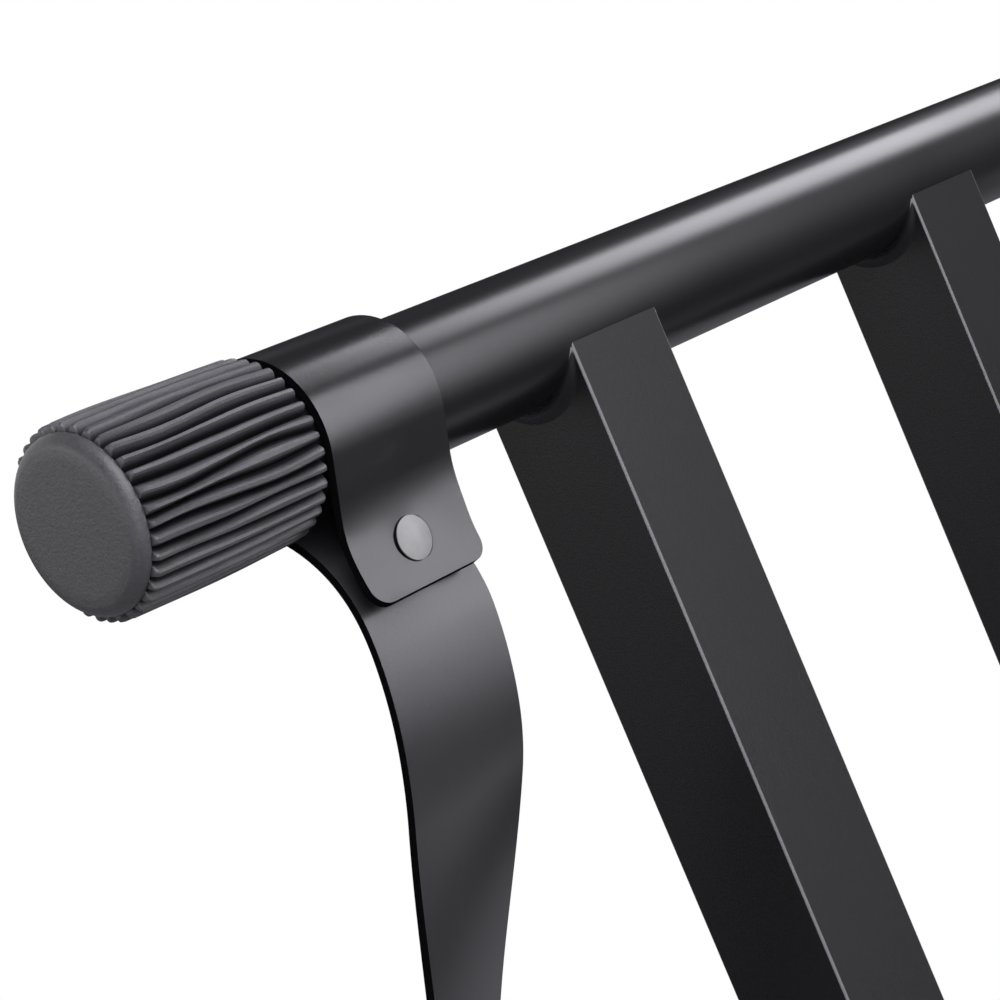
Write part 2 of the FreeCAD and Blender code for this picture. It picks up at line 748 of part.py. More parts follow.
def pivot_nut(name, place):
    """A hexagon nut with its corners turned off."""
    hexagon = bind(doc.addObject("Part::Prism", f"{name}_hexagon"),
                   Circumradius=at.nut_corner_diameter / 2, Height=at.nut_height)
    hexagon.Polygon = 6
    bar = rod(f"{name}_bar", at.nut_corner_diameter, at.nut_height, shift(0, 0, 0))
    crown = rounded(f"{name}_crown", bar, at.nut_chamfer,
                    lambda edge: isinstance(edge.Curve, Part.Circle), "Chamfer")
    blank = joined("Common", f"{name}_blank", hexagon, crown)
    bore = rod(f"{name}_bore", at.axle_diameter + at.running_fit * 2, at.nut_height + at.overrun * 2,
               shift(0, 0, -at.overrun))
    return cut(name, blank, bore, place=place)


# Height lock
cam_reach = at.disc_diameter / 2 + at.cam_diameter / 2 + at.cam_gap
cam_height = root(cam_reach * cam_reach - at.cam_lead * at.cam_lead)
lever_height = cam_height + at.cam_throw
lever_middle = -disc_back - at.disc_thickness / 2
handle_turn = FreeCAD.Rotation(Y_AXIS, float(at.handle_droop))
lever_place = OUTER_FRAME.multiply(shift(0, lever_middle, lever_height))
handle_place = FreeCAD.Placement(FreeCAD.Vector(), handle_turn)


def trigger_lever():
    """A plate lever: hub, eccentric friction cam above the disc, and handle."""
    half = at.disc_thickness / 2
    hub = rod("lever_hub", at.lever_hub_diameter, at.disc_thickness, shift(0, -half, 0, ALONG_DEPTH))
    cam = rod("lever_cam", at.cam_diameter, at.disc_thickness,
              shift(at.cam_lead, -half, cam_height - lever_height, ALONG_DEPTH))
    bar = box("lever_bar", at.handle_length, at.disc_thickness, at.handle_width,
              shift(0, -half, -at.handle_width / 2))
    handle = rounded(
        "lever_handle", bar, at.handle_width / 3,
        lambda edge: along(edge, Y_AXIS) and edge.Vertexes[0].X > float(at.handle_length) / 2,
    )
    handle.Placement = handle_place
    nose = joined("Fuse", "lever_nose", hub, cam)
    blank = joined("Fuse", "lever_blank", nose, handle)
    bore = rod("lever_bore", at.lever_pin_diameter + at.running_fit * 2,
               at.disc_thickness + at.overrun * 2, shift(0, -half - at.overrun, 0, ALONG_DEPTH))
    return cut("trigger_lever", blank, bore, place=lever_place)


def trigger_grip():
    """A moulded sleeve over the handle, with rounded edges and a slot for the plate."""
    wall = at.trigger_grip_wall
    wide = at.handle_width + wall * 2
    thick = at.disc_thickness + wall * 2
    start = at.handle_length + wall - at.trigger_grip_length
    block = box("trigger_grip_block", at.trigger_grip_length, thick, wide,
                shift(start, -thick / 2, -wide / 2))
    skin = rounded("trigger_grip_skin", block, wall * TRIGGER_GRIP_ROUND_SHARE, lambda edge: True)
    slot_wide = at.handle_width + at.cap_fit * 2
    slot_thick = at.disc_thickness + at.cap_fit * 2
    slot_long = at.handle_length + at.cap_fit
    slot_block = box("trigger_grip_slot_block", slot_long, slot_thick, slot_wide,
                     shift(0, -slot_thick / 2, -slot_wide / 2))
    slot = rounded(
        "trigger_grip_slot", slot_block, at.handle_width / 3,
        lambda edge: along(edge, Y_AXIS) and edge.Vertexes[0].X > float(at.handle_length) / 2,
    )
    return cut("trigger_grip", skin, slot, place=lever_place.multiply(handle_place))


def lock_bracket():
    """Folded sheet: a foot on the leg, a web, and a front plate that holds the lever pin."""
    sheet_thick = at.bracket_sheet
    web_low = lever_height + at.bracket_web_gap
    web_high = web_low + sheet_thick
    foot_top = web_low + at.bracket_foot
    plate_low = lever_height - at.bracket_lip
    foot_front = leg_front + sheet_thick

    def draw(sketch):
        outline(sketch, [
            (-leg_front, web_low),
            (-leg_front, foot_top),
            (-foot_front, foot_top),
            (-foot_front, web_high),
            (-plate_front, web_high),
            (-plate_front, plate_low),
            (-plate_back, plate_low),
            (-plate_back, web_low),
        ])

    body = padded("lock_bracket", "YZ_Plane", draw, at.bracket_width, OUTER_FRAME)
    softened(
        body, "lock_bracket_bend", at.bracket_bend,
        lambda edge: along(edge, X_AXIS) and is_near(edge, -plate_front, web_high),
    )
    pin_hole = new_sketch(body, "lock_bracket_pin_hole", "XZ_Plane")
    circle(pin_hole, at.lever_pin_diameter + at.running_fit * 2, 0, lever_height)
    pocket_through(body, "lock_bracket_pin_bore", pin_hole)
    screw_holes = new_sketch(body, "lock_bracket_screw_holes", "XZ_Plane")
    for height in screw_heights():
        circle(screw_holes, at.screw_diameter + at.running_fit * 2, 0, height)
    pocket_through(body, "lock_bracket_screw_bores", screw_holes)
    return body


def is_near(edge, deep, up):
    spot = edge.Vertexes[0].Point
    return abs(spot.y - float(deep)) < SAME and abs(spot.z - float(up)) < SAME


def screw_heights():
    web_high = lever_height + at.bracket_web_gap + at.bracket_sheet
    middle = web_high + (at.bracket_foot - at.bracket_sheet) / 2
    return middle - at.screw_spacing / 2, middle + at.screw_spacing / 2


def bracket_screws():
    """Two pan-head screws, as one group of separate solids."""
    screws = []
    face = leg_front + at.bracket_sheet
    for number, height in enumerate(screw_heights(), start=1):
        head_bar = rod(f"screw_head_bar_{number}", at.screw_head_diameter, at.screw_head_height,
                       shift(0, -face - at.screw_head_height, height, ALONG_DEPTH))
        head = rounded(f"screw_head_{number}", head_bar, at.screw_head_height / 3,
                       lambda edge: isinstance(edge.Curve, Part.Circle)
                       and edge.Curve.Center.y < -float(face) - float(at.screw_head_height) / 2)
        shank = rod(f"screw_shank_{number}", at.screw_diameter,
                    at.bracket_sheet + at.leg_wall + at.screw_grip,
                    shift(0, -face, height, ALONG_DEPTH))
        screws.append(joined("Fuse", f"screw_{number}", head, shank))
    group = doc.addObject("Part::Compound", "bracket_screws")
    group.Links = screws
    group.Placement = OUTER_FRAME
    return group


def lever_pin():
    """From inside the leg's front wall, through the lever, to a head on the bracket."""
    inner_end = leg_front - at.leg_wall - at.screw_grip
    shank = rod("lever_pin_shank", at.lever_pin_diameter, plate_front - inner_end,
                shift(0, -plate_front, lever_height, ALONG_DEPTH))
    head = rod("lever_pin_head", at.pin_head_diameter, at.pin_head_height,
               shift(0, -plate_front - at.pin_head_height, lever_height, ALONG_DEPTH))
    return joined("Fuse", "lever_pin", shank, head, OUTER_FRAME)


def lever_spring():
    """A torsion spring round the lever pin, with a straight arm at each end."""
    radius = float(at.spring_diameter) / 2
    pitch = float(at.spring_pitch)
    quarter_turns = int(round(float(at.spring_turns) * 4))
    first = float(disc_front + at.moving_gap + at.spring_wire / 2)

    def wire_point(quarters):
        turn = math.radians(90 * quarters)
        depth = -first - pitch * quarters / 4
        return FreeCAD.Vector(radius * math.cos(turn), depth, radius * math.sin(turn))

    coil = [
        Part.Arc(wire_point(n), wire_point(n + 0.5), wire_point(n + 1)).toShape()
        for n in range(quarter_turns)
    ]
    arm = float(at.spring_arm)
    start, start_way = wire_point(0), coil[0].tangentAt(coil[0].FirstParameter)
    end, end_way = wire_point(quarter_turns), coil[-1].tangentAt(coil[-1].LastParameter)
    arms = [
        Part.LineSegment(start - start_way * arm, start).toShape(),
        Part.LineSegment(end, end + end_way * arm).toShape(),
    ]
    path = Part.Wire([arms[0]] + coil + [arms[1]])
    section = Part.Wire(Part.Circle(start - start_way * arm, start_way, float(at.spring_wire) / 2).toShape())
    samples = [wire_point(n / 4) for n in range(quarter_turns * 4 + 1)]
    far_apart = 8
    least_gap = min(
        (a - b).Length - float(at.spring_wire)
        for n, a in enumerate(samples) for b in samples[n + far_apart:]
    )
    print(f"lever_spring: least gap between turns {least_gap:.2f} mm")
    item = doc.addObject("Part::Feature", "lever_spring")
    item.Shape = path.makePipeShell([section], True, False)
    item.Placement = OUTER_FRAME.multiply(shift(0, 0, lever_height))
    return item


nodes = []

pivot_clearance = at.running_fit * 2
bush_hole = at.bush_diameter + pivot_clearance
axle_hole = at.axle_diameter + pivot_clearance
lock_holes = [
    rod(f"lock_hole_{number}", diameter + pivot_clearance, at.leg_wall + at.overrun,
        shift(0, -at.leg_width / 2 - at.overrun / 2, height, ALONG_DEPTH))
    for number, (diameter, height) in enumerate(
        [(at.lever_pin_diameter, lever_height)]
        + [(at.screw_diameter, height) for height in screw_heights()]
    )
]
nodes.append(leg("outer_front_leg", OUTER_FRAME, -outer_leg_middle, bush_hole, lock_holes))
nodes.append(leg("outer_rear_leg", OUTER_FRAME, outer_leg_middle, bush_hole))
nodes.append(leg("inner_front_leg", INNER_FRAME, inner_leg_middle, axle_hole))
nodes.append(leg("inner_rear_leg", INNER_FRAME, -inner_leg_middle, axle_hole))

grip_end_at = at.overall_depth / 2
foot_end_at = tube_length / 2 + at.foot_end
strap_middle = grip_end_at - at.grip_length - at.strap_inset - at.strap_width / 2
for frame_name, frame, strap_turn in (
    ("outer", OUTER_FRAME, shift(0, 0, 0)),
    ("inner", INNER_FRAME, HALF_TURN),
):
    support = tube_axis_point(frame, 1)
    foot = tube_axis_point(frame, -1)
    nodes.append(round_tube(f"{frame_name}_support_tube", frame, 1))
    nodes.append(round_tube(f"{frame_name}_foot_tube", frame, -1))
    for end_name, end in (("front", -1), ("rear", 1)):
        nodes.append(grip_cap(f"{frame_name}_{end_name}_grip_cap", end_placement(support, grip_end_at, end)))
        nodes.append(foot_cap(f"{frame_name}_{end_name}_foot_cap", end_placement(foot, foot_end_at, end)))
    hang = FreeCAD.Placement(support, UNTURNED).multiply(strap_turn).multiply(shift(0, -strap_middle, 0))
    nodes.append(strap(f"{frame_name}_strap", hang))
    nodes.append(rivet(f"{frame_name}_strap_rivet", hang))
    nodes.append(fastener_pad(f"{frame_name}_strap_hook_pad", hang, 0))
    nodes.append(fastener_pad(f"{frame_name}_strap_loop_pad", hang, 1))

nodes.append(pivot_axle())
nodes.append(pivot_bush("front_pivot_bush", -1))
nodes.append(pivot_bush("rear_pivot_bush", 1))
inner_faces = inner_leg_middle - at.leg_width / 2
spun = INNER_FRAME.multiply(HALF_TURN)
nodes.append(ring("pivot_spacer", at.spacer_diameter, axle_hole, inner_faces * 2,
                  pivot_place(spun, -inner_faces)))
nodes.append(ring("front_pivot_washer", at.washer_diameter, axle_hole, at.washer_thickness,
                  pivot_place(spun, -disc_front - at.washer_thickness)))
nodes.append(ring("rear_pivot_washer", at.washer_diameter, axle_hole, at.washer_thickness,
                  pivot_place(spun, disc_back)))
nodes.append(pivot_nut("front_pivot_nut",
                       pivot_place(spun, -disc_front - at.washer_thickness - at.nut_height)))
nodes.append(pivot_nut("rear_pivot_nut", pivot_place(spun, disc_back + at.washer_thickness)))
nodes.append(lock_disc())
nodes.append(lock_bracket())
nodes.append(bracket_screws())
nodes.append(trigger_lever())
nodes.append(trigger_grip())
nodes.append(lever_pin())
nodes.append(lever_spring())

doc.recompute()

for item in doc.Objects:
    if "Invalid" in item.State or "Error" in item.State:
        raise RuntimeError(f"{item.Label} failed: {item.State}")
for node in nodes:
    if node.Shape.isNull() or not node.Shape.isValid():
        raise RuntimeError(f"{node.Label} has no valid shape")

os.makedirs("parts", exist_ok=True)
for node in nodes:
    node.Shape.exportStep(f"parts/{node.Label}.step")
print(f"{len(nodes)} nodes, pivot {pivot_height:.2f} mm above the floor")
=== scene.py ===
# %% [markdown]
# # A folding keyboard stand
# The stand is a welded X of painted steel. Two frames of square legs cross at one pivot, round tubes lie
# across their tops for the keyboard and across their feet for the floor, rubber caps close the tube ends, and
# a vinyl strap hangs from each support tube. The CAD model fixes where every piece is and how it moves, so
# this lesson only gives the pieces their finish and models the soft and ribbed ones more finely.

# %% Load the CAD frame
import json
import math

import bmesh
import bpy
from mathutils import Matrix, Quaternion, Vector, noise


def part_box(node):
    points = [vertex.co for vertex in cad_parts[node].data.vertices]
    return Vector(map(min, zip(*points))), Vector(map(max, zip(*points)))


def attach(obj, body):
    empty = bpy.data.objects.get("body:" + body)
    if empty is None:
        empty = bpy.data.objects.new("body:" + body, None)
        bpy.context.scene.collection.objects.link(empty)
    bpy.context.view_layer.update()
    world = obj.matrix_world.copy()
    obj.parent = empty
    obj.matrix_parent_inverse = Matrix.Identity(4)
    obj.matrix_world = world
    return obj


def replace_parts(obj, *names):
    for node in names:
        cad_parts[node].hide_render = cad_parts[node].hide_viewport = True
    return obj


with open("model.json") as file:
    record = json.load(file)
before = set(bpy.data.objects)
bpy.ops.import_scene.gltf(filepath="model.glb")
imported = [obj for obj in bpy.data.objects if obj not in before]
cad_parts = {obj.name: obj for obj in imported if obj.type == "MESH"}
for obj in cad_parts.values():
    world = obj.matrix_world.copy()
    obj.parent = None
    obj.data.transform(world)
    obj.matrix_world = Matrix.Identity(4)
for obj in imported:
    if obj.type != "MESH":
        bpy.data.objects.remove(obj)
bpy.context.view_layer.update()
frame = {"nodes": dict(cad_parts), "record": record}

MM = 0.001

# %% [markdown]
# A piece that lies on a CAD piece takes its place from it. Reading the boxes of the tubes here means that a
# cap or a strap follows when the CAD model moves it. A tube's radius, a leg's half width and its lean are
# fixed in the CAD model, so they are named here once.


# %% Measure the tubes and the pivot
def middle(node):
    low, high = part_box(node)
    return (low + high) / 2


LEFT_AXIS = middle("outer_support_tube")
RIGHT_AXIS = middle("inner_support_tube")
PIVOT = Vector((0, 0, middle("pivot_axle").z))
TUBE_RADIUS = 12.5 * MM
LEG_HALF = 12.5 * MM
LEAN = math.radians(30)
LEG_DEPTHS = (abs(middle("outer_front_leg").y), abs(middle("inner_front_leg").y))
print("tube axes at x", round(LEFT_AXIS.x, 4), round(RIGHT_AXIS.x, 4), "pivot height", round(PIVOT.z, 4))

# %% [markdown]
# Finishes are small trees of shader nodes. Wiring them by hand hides the idea behind the sockets, so one
# class wraps a socket: a sum of two wires adds a Math node, and `node` adds any other kind. The text of a
# finish then reads like the recipe of a paint.


# %% A wire of the shader tree
class Wire:
    """A socket of a material's nodes; sums of wires and numbers add Math nodes."""

    def __init__(self, tree, socket=None):
        self.tree = tree
        self.socket = socket

    def node(self, kind, settings, inputs, output=0):
        """Add one node: its settings first, then a value or a wire for each socket."""
        made = self.tree.nodes.new(kind)
        for name, value in settings.items():
            setattr(made, name, value)
        for name, value in inputs.items():
            if isinstance(value, Wire):
                self.tree.links.new(value.socket, made.inputs[name])
            else:
                made.inputs[name].default_value = value
        return Wire(self.tree, made.outputs[output])

    def sum(self, operation, first, second):
        return self.node("ShaderNodeMath", {"operation": operation}, {0: first, 1: second})

    def __add__(self, other):
        return self.sum("ADD", self, other)

    def __radd__(self, other):
        return self.sum("ADD", other, self)

    def __sub__(self, other):
        return self.sum("SUBTRACT", self, other)

    def __rsub__(self, other):
        return self.sum("SUBTRACT", other, self)

    def __mul__(self, other):
        return self.sum("MULTIPLY", self, other)

    def __rmul__(self, other):
        return self.sum("MULTIPLY", other, self)

    def __abs__(self):
        return self.sum("ABSOLUTE", self, 0)


# %% [markdown]
# Every finish here is built from the same few moves: a noise of some grain size, a blend between two greys,
# a step that keeps only the peaks of a noise, and a relief that tilts the surface. Scales are in grains per
# metre and relief is in metres, because Object coordinates are in metres and every piece sits at the origin.


# %% The moves that the finishes share
def grain(here, per_metre, detail=3.0):
    return here.node("ShaderNodeTexNoise", {}, {"Vector": here, "Scale": per_metre, "Detail": detail})


def peaks(fleck, start, end):
    """0 below start, 1 above end."""
    return fleck.node("ShaderNodeMapRange", {"interpolation_type": "SMOOTHSTEP"},
                      {0: fleck, 1: start, 2: end})


def tint(share, start, end):
    """A colour between two, each a triple or the wire of another tint."""
    start, end = (colour if isinstance(colour, Wire) else (*colour, 1) for colour in (start, end))
    return share.node("ShaderNodeMix", {"data_type": "RGBA"}, {0: share, 6: start, 7: end}, 2)


def relief(height, depth):
    return height.node("ShaderNodeBump", {}, {"Height": height, "Distance": depth, "Strength": 1.0})


def along(here, way):
    """How far a place lies in a direction."""
    return here.node("ShaderNodeVectorMath", {"operation": "DOT_PRODUCT"}, {0: here, 1: way}, "Value")


def stretched(here, across, deep, up):
    """Coordinates with each axis scaled, for patterns that run one way."""
    return here.node("ShaderNodeMapping", {}, {"Vector": here, "Scale": (across, deep, up)})


finishes = {}


def finish(name, recipe, **fixed):
    """A material: recipe(here) gives what varies over the surface, fixed what doesn't."""
    material = bpy.data.materials.new(name)
    material.use_nodes = True
    shader = material.node_tree.nodes["Principled BSDF"]
    here = Wire(material.node_tree).node("ShaderNodeTexCoord", {}, {}, "Object")
    for socket, wire in recipe(here).items():
        material.node_tree.links.new(wire.socket, shader.inputs[socket])
    for socket, value in fixed.items():
        shader.inputs[socket.replace("_", " ")].default_value = value
    finishes[name] = material
    print("finish", name, "has", len(material.node_tree.nodes), "nodes")


# %% [markdown]
# The round tubes wear black satin enamel. Sprayed enamel is never a perfect mirror: it dries with a faint
# orange peel and its gloss drifts slowly along the tube, so a fine noise feeds the relief and a coarse one
# the roughness. A little dust makes dull flecks.


# %% Enamel
def tube_paint(here):
    drift = grain(here, 24)
    peel = grain(here, 850)
    dust = peaks(grain(here, 2400, 1.0), 0.70, 0.78)
    return {
        "Base Color": tint(drift * 0.6 + dust * 0.4, (0.0035, 0.0035, 0.004), (0.008, 0.008, 0.009)),
        "Roughness": 0.27 + 0.07 * drift + 0.05 * dust,
        "Normal": relief(peel, 0.00001),
    }


finish("tube_paint", tube_paint, Specular_IOR_Level=0.46)

# %% [markdown]
# The legs have a matt powder coat. A light line is painted along their sharp corners as a painted highlight,
# the glint that their small rounds would catch. The two frames lean like mirror pictures, so the sizes of x
# and of the height above the pivot find a leg's own width. How far a place is out across the leg, plus how
# far out in depth, is greatest on the corners. The lock's bracket and lever wear a similar coat, polished in
# places.

# %% Powder coat
# Where the painted corner highlight starts and where it is full, measured in from the leg's outer faces.
PAINTED_GLINT_START, PAINTED_GLINT_FULL = 0.5 * MM, 0.32 * MM


def leg_corner(here):
    """1 on the rounded corners of a leg, 0 on its faces."""
    x, y, z = (along(here, axis) for axis in ((1, 0, 0), (0, 1, 0), (0, 0, 1)))
    across = abs(abs(x) * math.cos(LEAN) - abs(z - PIVOT.z) * math.sin(LEAN))
    outer, inner = (abs(abs(y) - depth) for depth in LEG_DEPTHS)
    out = across + here.sum("MINIMUM", outer, inner)
    return peaks(out, 2 * LEG_HALF - PAINTED_GLINT_START, 2 * LEG_HALF - PAINTED_GLINT_FULL)


def leg_coat(here):
    drift = grain(here, 18)
    fleck = grain(here, 3200, 2.0)
    coarse = grain(here, 1100)
    # Painted highlight: the corners are blended towards a light grey where a glint would show, varied by the
    # drift.
    painted_corner_glint = leg_corner(here) * (0.75 + 0.5 * drift)
    coat = tint(fleck * 0.8 + drift * 0.2, (0.0047, 0.0047, 0.0051), (0.0140, 0.0140, 0.0150))
    return {
        "Base Color": tint(painted_corner_glint, coat, (0.20, 0.20, 0.205)),
        "Roughness": 0.32 + 0.06 * drift + 0.05 * fleck,
        "Normal": relief(fleck * 0.7 + coarse * 0.3, 0.00004),
    }


finish("leg_coat", leg_coat, Specular_IOR_Level=0.23)


def lock_paint(here):
    fleck = grain(here, 2600, 2.0)
    worn = peaks(grain(here, 90), 0.62, 0.72)
    return {
        "Base Color": tint(fleck, (0.006, 0.006, 0.0065), (0.016, 0.016, 0.017)),
        "Roughness": 0.42 + 0.12 * fleck - 0.10 * worn,
        "Normal": relief(fleck, 0.00005),
    }


finish("lock_paint", lock_paint, Specular_IOR_Level=0.4)

# %% [markdown]
# Moulded rubber scatters light from a fine pebbled skin, drawn into streaks along the cap. The bottoms of its
# grooves are painted darker than the crests, as painted shade; the cap's mesh carries how deep each place
# lies as the attribute "groove". Handling polishes it unevenly, so a coarse noise moves the roughness.


# %% Rubber and nylon
def cap_rubber(here):
    pebble = grain(here, 2600, 4.0)
    cloud = grain(here, 260)
    groove = here.node("ShaderNodeAttribute", {"attribute_name": "groove"}, {}, "Fac")
    streak = grain(stretched(here, 1, 0.1, 1), 1300, 2.0)
    skin = pebble * 0.45 + streak * 0.35 + cloud * 0.2
    crown = tint(skin, (0.018, 0.018, 0.0195), (0.108, 0.108, 0.1145))
    return {
        # Painted shade: the deep parts of each groove are blended towards a near black.
        "Base Color": tint(peaks(groove, 0.1, 0.6), crown, (0.010, 0.010, 0.011)),
        "Roughness": 0.36 + 0.14 * cloud,
        "Normal": relief(pebble * 0.6 + streak * 0.4, 0.00009),
    }


finish("cap_rubber", cap_rubber, Specular_IOR_Level=0.55)


def trigger_rubber(here):
    pebble = grain(here, 2000, 3.0)
    cloud = grain(here, 150)
    return {
        "Base Color": tint(cloud, (0.008, 0.008, 0.009), (0.02, 0.02, 0.022)),
        "Roughness": 0.5 + 0.15 * cloud,
        "Normal": relief(pebble, 0.00008),
    }


finish("trigger_rubber", trigger_rubber, Specular_IOR_Level=0.4)


def bush_nylon(here):
    flow = grain(here, 300)
    return {
        "Base Color": tint(flow, (0.012, 0.012, 0.012), (0.03, 0.03, 0.031)),
        "Roughness": 0.34 + 0.12 * flow,
        "Normal": relief(grain(here, 1200), 0.00003),
    }


finish("bush_nylon", bush_nylon)

# %% [markdown]
# The strap is smooth satin vinyl on the outside, with a few scuffs along it. Its back is rougher and a little
# paler, and that is the side that the hanging tail shows. The cut edge is dull fibre with hardly any shine.


# %% Vinyl
def strap_vinyl(here):
    skin = grain(here, 1900, 3.0)
    drift = grain(here, 45)
    scuff = peaks(grain(stretched(here, 1, 0.25, 1), 160), 0.60, 0.75)
    return {
        "Base Color": tint(drift, (0.0075, 0.0075, 0.0083), (0.0115, 0.0115, 0.0127)),
        "Roughness": 0.23 + 0.04 * drift + 0.04 * scuff,
        "Normal": relief(skin, 0.000012),
    }


finish("strap_vinyl", strap_vinyl, Specular_IOR_Level=0.5)


def strap_back(here):
    skin = grain(here, 1500, 4.0)
    drift = grain(here, 45)
    return {
        "Base Color": tint(skin * 0.5 + drift * 0.5, (0.018, 0.018, 0.0195), (0.032, 0.032, 0.0345)),
        "Roughness": 0.31 + 0.06 * drift,
        "Normal": relief(skin, 0.000016),
    }


finish("strap_back", strap_back, Specular_IOR_Level=0.75)


def strap_edge(here):
    fibre = grain(stretched(here, 1, 6, 1), 900)
    return {
        "Base Color": tint(fibre, (0.002, 0.002, 0.002), (0.008, 0.008, 0.009)),
        "Roughness": 0.66 + 0.2 * fibre,
        "Normal": relief(fibre, 0.00008),
    }


finish("strap_edge", strap_edge, Specular_IOR_Level=0.0)

# %% [markdown]
# Bare metal shows how it was worked. Nickel plate on the rivet is tumbled to a satin, the zinc on nuts and
# screws is cloudy, the lock disc is faced on a lathe and keeps fine rings round the axle, and spring wire is
# unevenly bright from drawing. Rings come from the distance to the axle's line, which runs along Y.


# %% Metals
def rivet_nickel(here):
    satin = grain(here, 2600, 2.0)
    cloud = grain(here, 420)
    return {
        "Base Color": tint(cloud, (0.24, 0.237, 0.234), (0.32, 0.316, 0.312)),
        "Roughness": 0.48 + 0.08 * satin,
        "Normal": relief(satin, 0.000006),
    }


finish("rivet_nickel", rivet_nickel, Metallic=1.0)


def pivot_steel(here):
    cloud = grain(here, 140)
    satin = grain(here, 2200, 2.0)
    scratch = peaks(grain(stretched(here, 1, 0.08, 1), 1400, 1.0), 0.62, 0.70)
    return {
        "Base Color": tint(cloud, (0.36, 0.37, 0.385), (0.55, 0.555, 0.56)),
        "Roughness": 0.30 + 0.16 * cloud + 0.08 * scratch,
        "Normal": relief(satin * 0.4 + scratch * 0.6, 0.000012),
    }


finish("pivot_steel", pivot_steel, Metallic=1.0)


def disc_steel(here):
    centred = here.node("ShaderNodeMapping", {}, {"Vector": here, "Location": tuple(-PIVOT)})
    rings = centred.node("ShaderNodeTexWave", {"wave_type": "RINGS", "rings_direction": "Y"},
                         {"Vector": centred, "Scale": 420.0, "Distortion": 0.6, "Detail": 1.0}, "Fac")
    cloud = grain(here, 120)
    return {
        "Base Color": tint(rings * 0.6 + cloud * 0.4, (0.30, 0.30, 0.31), (0.52, 0.52, 0.53)),
        "Roughness": 0.26 + 0.12 * rings + 0.08 * cloud,
        "Normal": relief(rings, 0.000015),
    }


finish("disc_steel", disc_steel, Metallic=1.0)


def spring_steel(here):
    drawn = grain(here, 700)
    return {
        "Base Color": tint(drawn, (0.22, 0.22, 0.23), (0.42, 0.42, 0.43)),
        "Roughness": 0.28 + 0.15 * drawn,
        "Normal": relief(drawn, 0.00001),
    }


finish("spring_steel", spring_steel, Metallic=1.0)


# %% [markdown]
# The strap closes with a hook pad and a loop pad. Hooks stand in a regular woven grid, loops are a random
# pile, so one finish crosses two waves and the other is a coarse noise; both keep the sheen of nylon.


# %% Hook and loop
def woven(here, way, per_metre):
    return here.node("ShaderNodeTexWave", {"bands_direction": way},
                     {"Vector": here, "Scale": per_metre}, "Fac")


def hook_pad(here):
    rows = woven(here, "Z", 260.0)
    columns = woven(here, "Y", 220.0)
    fuzz = grain(here, 2500)
    hooks = rows * columns
    return {
        "Base Color": tint(hooks * 0.7 + fuzz * 0.3, (0.004, 0.004, 0.0045), (0.03, 0.03, 0.032)),
        "Roughness": 0.45 + 0.3 * fuzz,
        "Normal": relief(hooks + 0.3 * fuzz, 0.0004),
    }


finish("hook_pad", hook_pad, Sheen_Weight=0.1)


def loop_pad(here):
    pile = grain(here, 900, 5.0)
    cloud = grain(here, 120)
    return {
        "Base Color": tint(pile * 0.7 + cloud * 0.3, (0.004, 0.004, 0.0045), (0.034, 0.034, 0.036)),
        "Roughness": 0.7 + 0.2 * pile,
        "Normal": relief(pile, 0.0005),
    }


finish("loop_pad", loop_pad, Sheen_Weight=0.25)

# %% [markdown]
# A CAD node that already has the right shape keeps it and takes a finish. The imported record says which
# material slot each node uses, and the finishes above carry the same names, so one loop dresses them all.

# %% Dress the CAD nodes
for subpart in frame["record"]["subparts"]:
    mesh = frame["nodes"][subpart["node"]].data
    mesh.materials.clear()
    mesh.materials.append(finishes[subpart["material_slot"]])

# %% [markdown]
# New pieces start as a bmesh and end here: shaded smooth with creases where faces turn sharply, made an
# object at the origin, and hung on the CAD body that carries them. Many are turned shapes, so a spin of half
# a section is kept beside it, and a way to join two meshes into one piece.


# %% Turn a bmesh into a piece
MERGE = 0.002 * MM


def piece(name, shape, body, slot, *materials, crease=35):
    for face in shape.faces:
        face.smooth = True
    for edge in shape.edges:
        edge.smooth = edge.calc_face_angle(0) < math.radians(crease)
    mesh = bpy.data.meshes.new(name)
    shape.to_mesh(mesh)
    shape.free()
    for material in materials:
        mesh.materials.append(finishes[material])
    made = bpy.data.objects.new(name, mesh)
    bpy.context.scene.collection.objects.link(made)
    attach(made, body)
    print(name, "has", len(mesh.polygons), "faces and rides on", body)
    return made


def spun(profile, steps):
    """Turn a closed half profile of (radius, depth) points round the Y axis."""
    shape = bmesh.new()
    spots = [shape.verts.new((radius, depth, 0)) for radius, depth in profile]
    for start, end in zip(spots, spots[1:]):
        shape.edges.new((start, end))
    bmesh.ops.spin(shape, geom=shape.verts[:] + shape.edges[:], cent=(0, 0, 0), axis=(0, 1, 0),
                   angle=math.tau, steps=steps, use_merge=True)
    bmesh.ops.remove_doubles(shape, verts=shape.verts[:], dist=MERGE)
    bmesh.ops.recalc_face_normals(shape, faces=shape.faces[:])
    return shape


def joined(shape, more):
    """Add the mesh of a second bmesh to the first."""
    loose = bpy.data.meshes.new("loose")
    more.to_mesh(loose)
    more.free()
    shape.from_mesh(loose)
    bpy.data.meshes.remove(loose)


# %% [markdown]
# The round tubes are drawn steel, cut off square and deburred. A CAD tube is divided coarsely and has a seam
# that a long highlight shows up, so each one is spun anew from the section of its wall, with the edges of its
# ends broken.

# %% Round tubes
TUBE_WALL = 1.5 * MM
DEBURR = 0.3 * MM
TUBE_STEPS = 128


def tube_profile(length):
    """Half the section of a tube's wall, closed, with its four edges broken."""
    bore = TUBE_RADIUS - TUBE_WALL
    corners = [(TUBE_RADIUS, 0), (TUBE_RADIUS, length), (bore, length), (bore, 0)]
    points = []
    for radius, depth in corners:
        inward = DEBURR if radius < TUBE_RADIUS else -DEBURR
        lengthwise = DEBURR if depth == 0 else -DEBURR
        broken = [(radius + inward, depth), (radius, depth + lengthwise)]
        points += broken if (radius == TUBE_RADIUS) == (depth == 0) else broken[::-1]
    return points + points[:1]


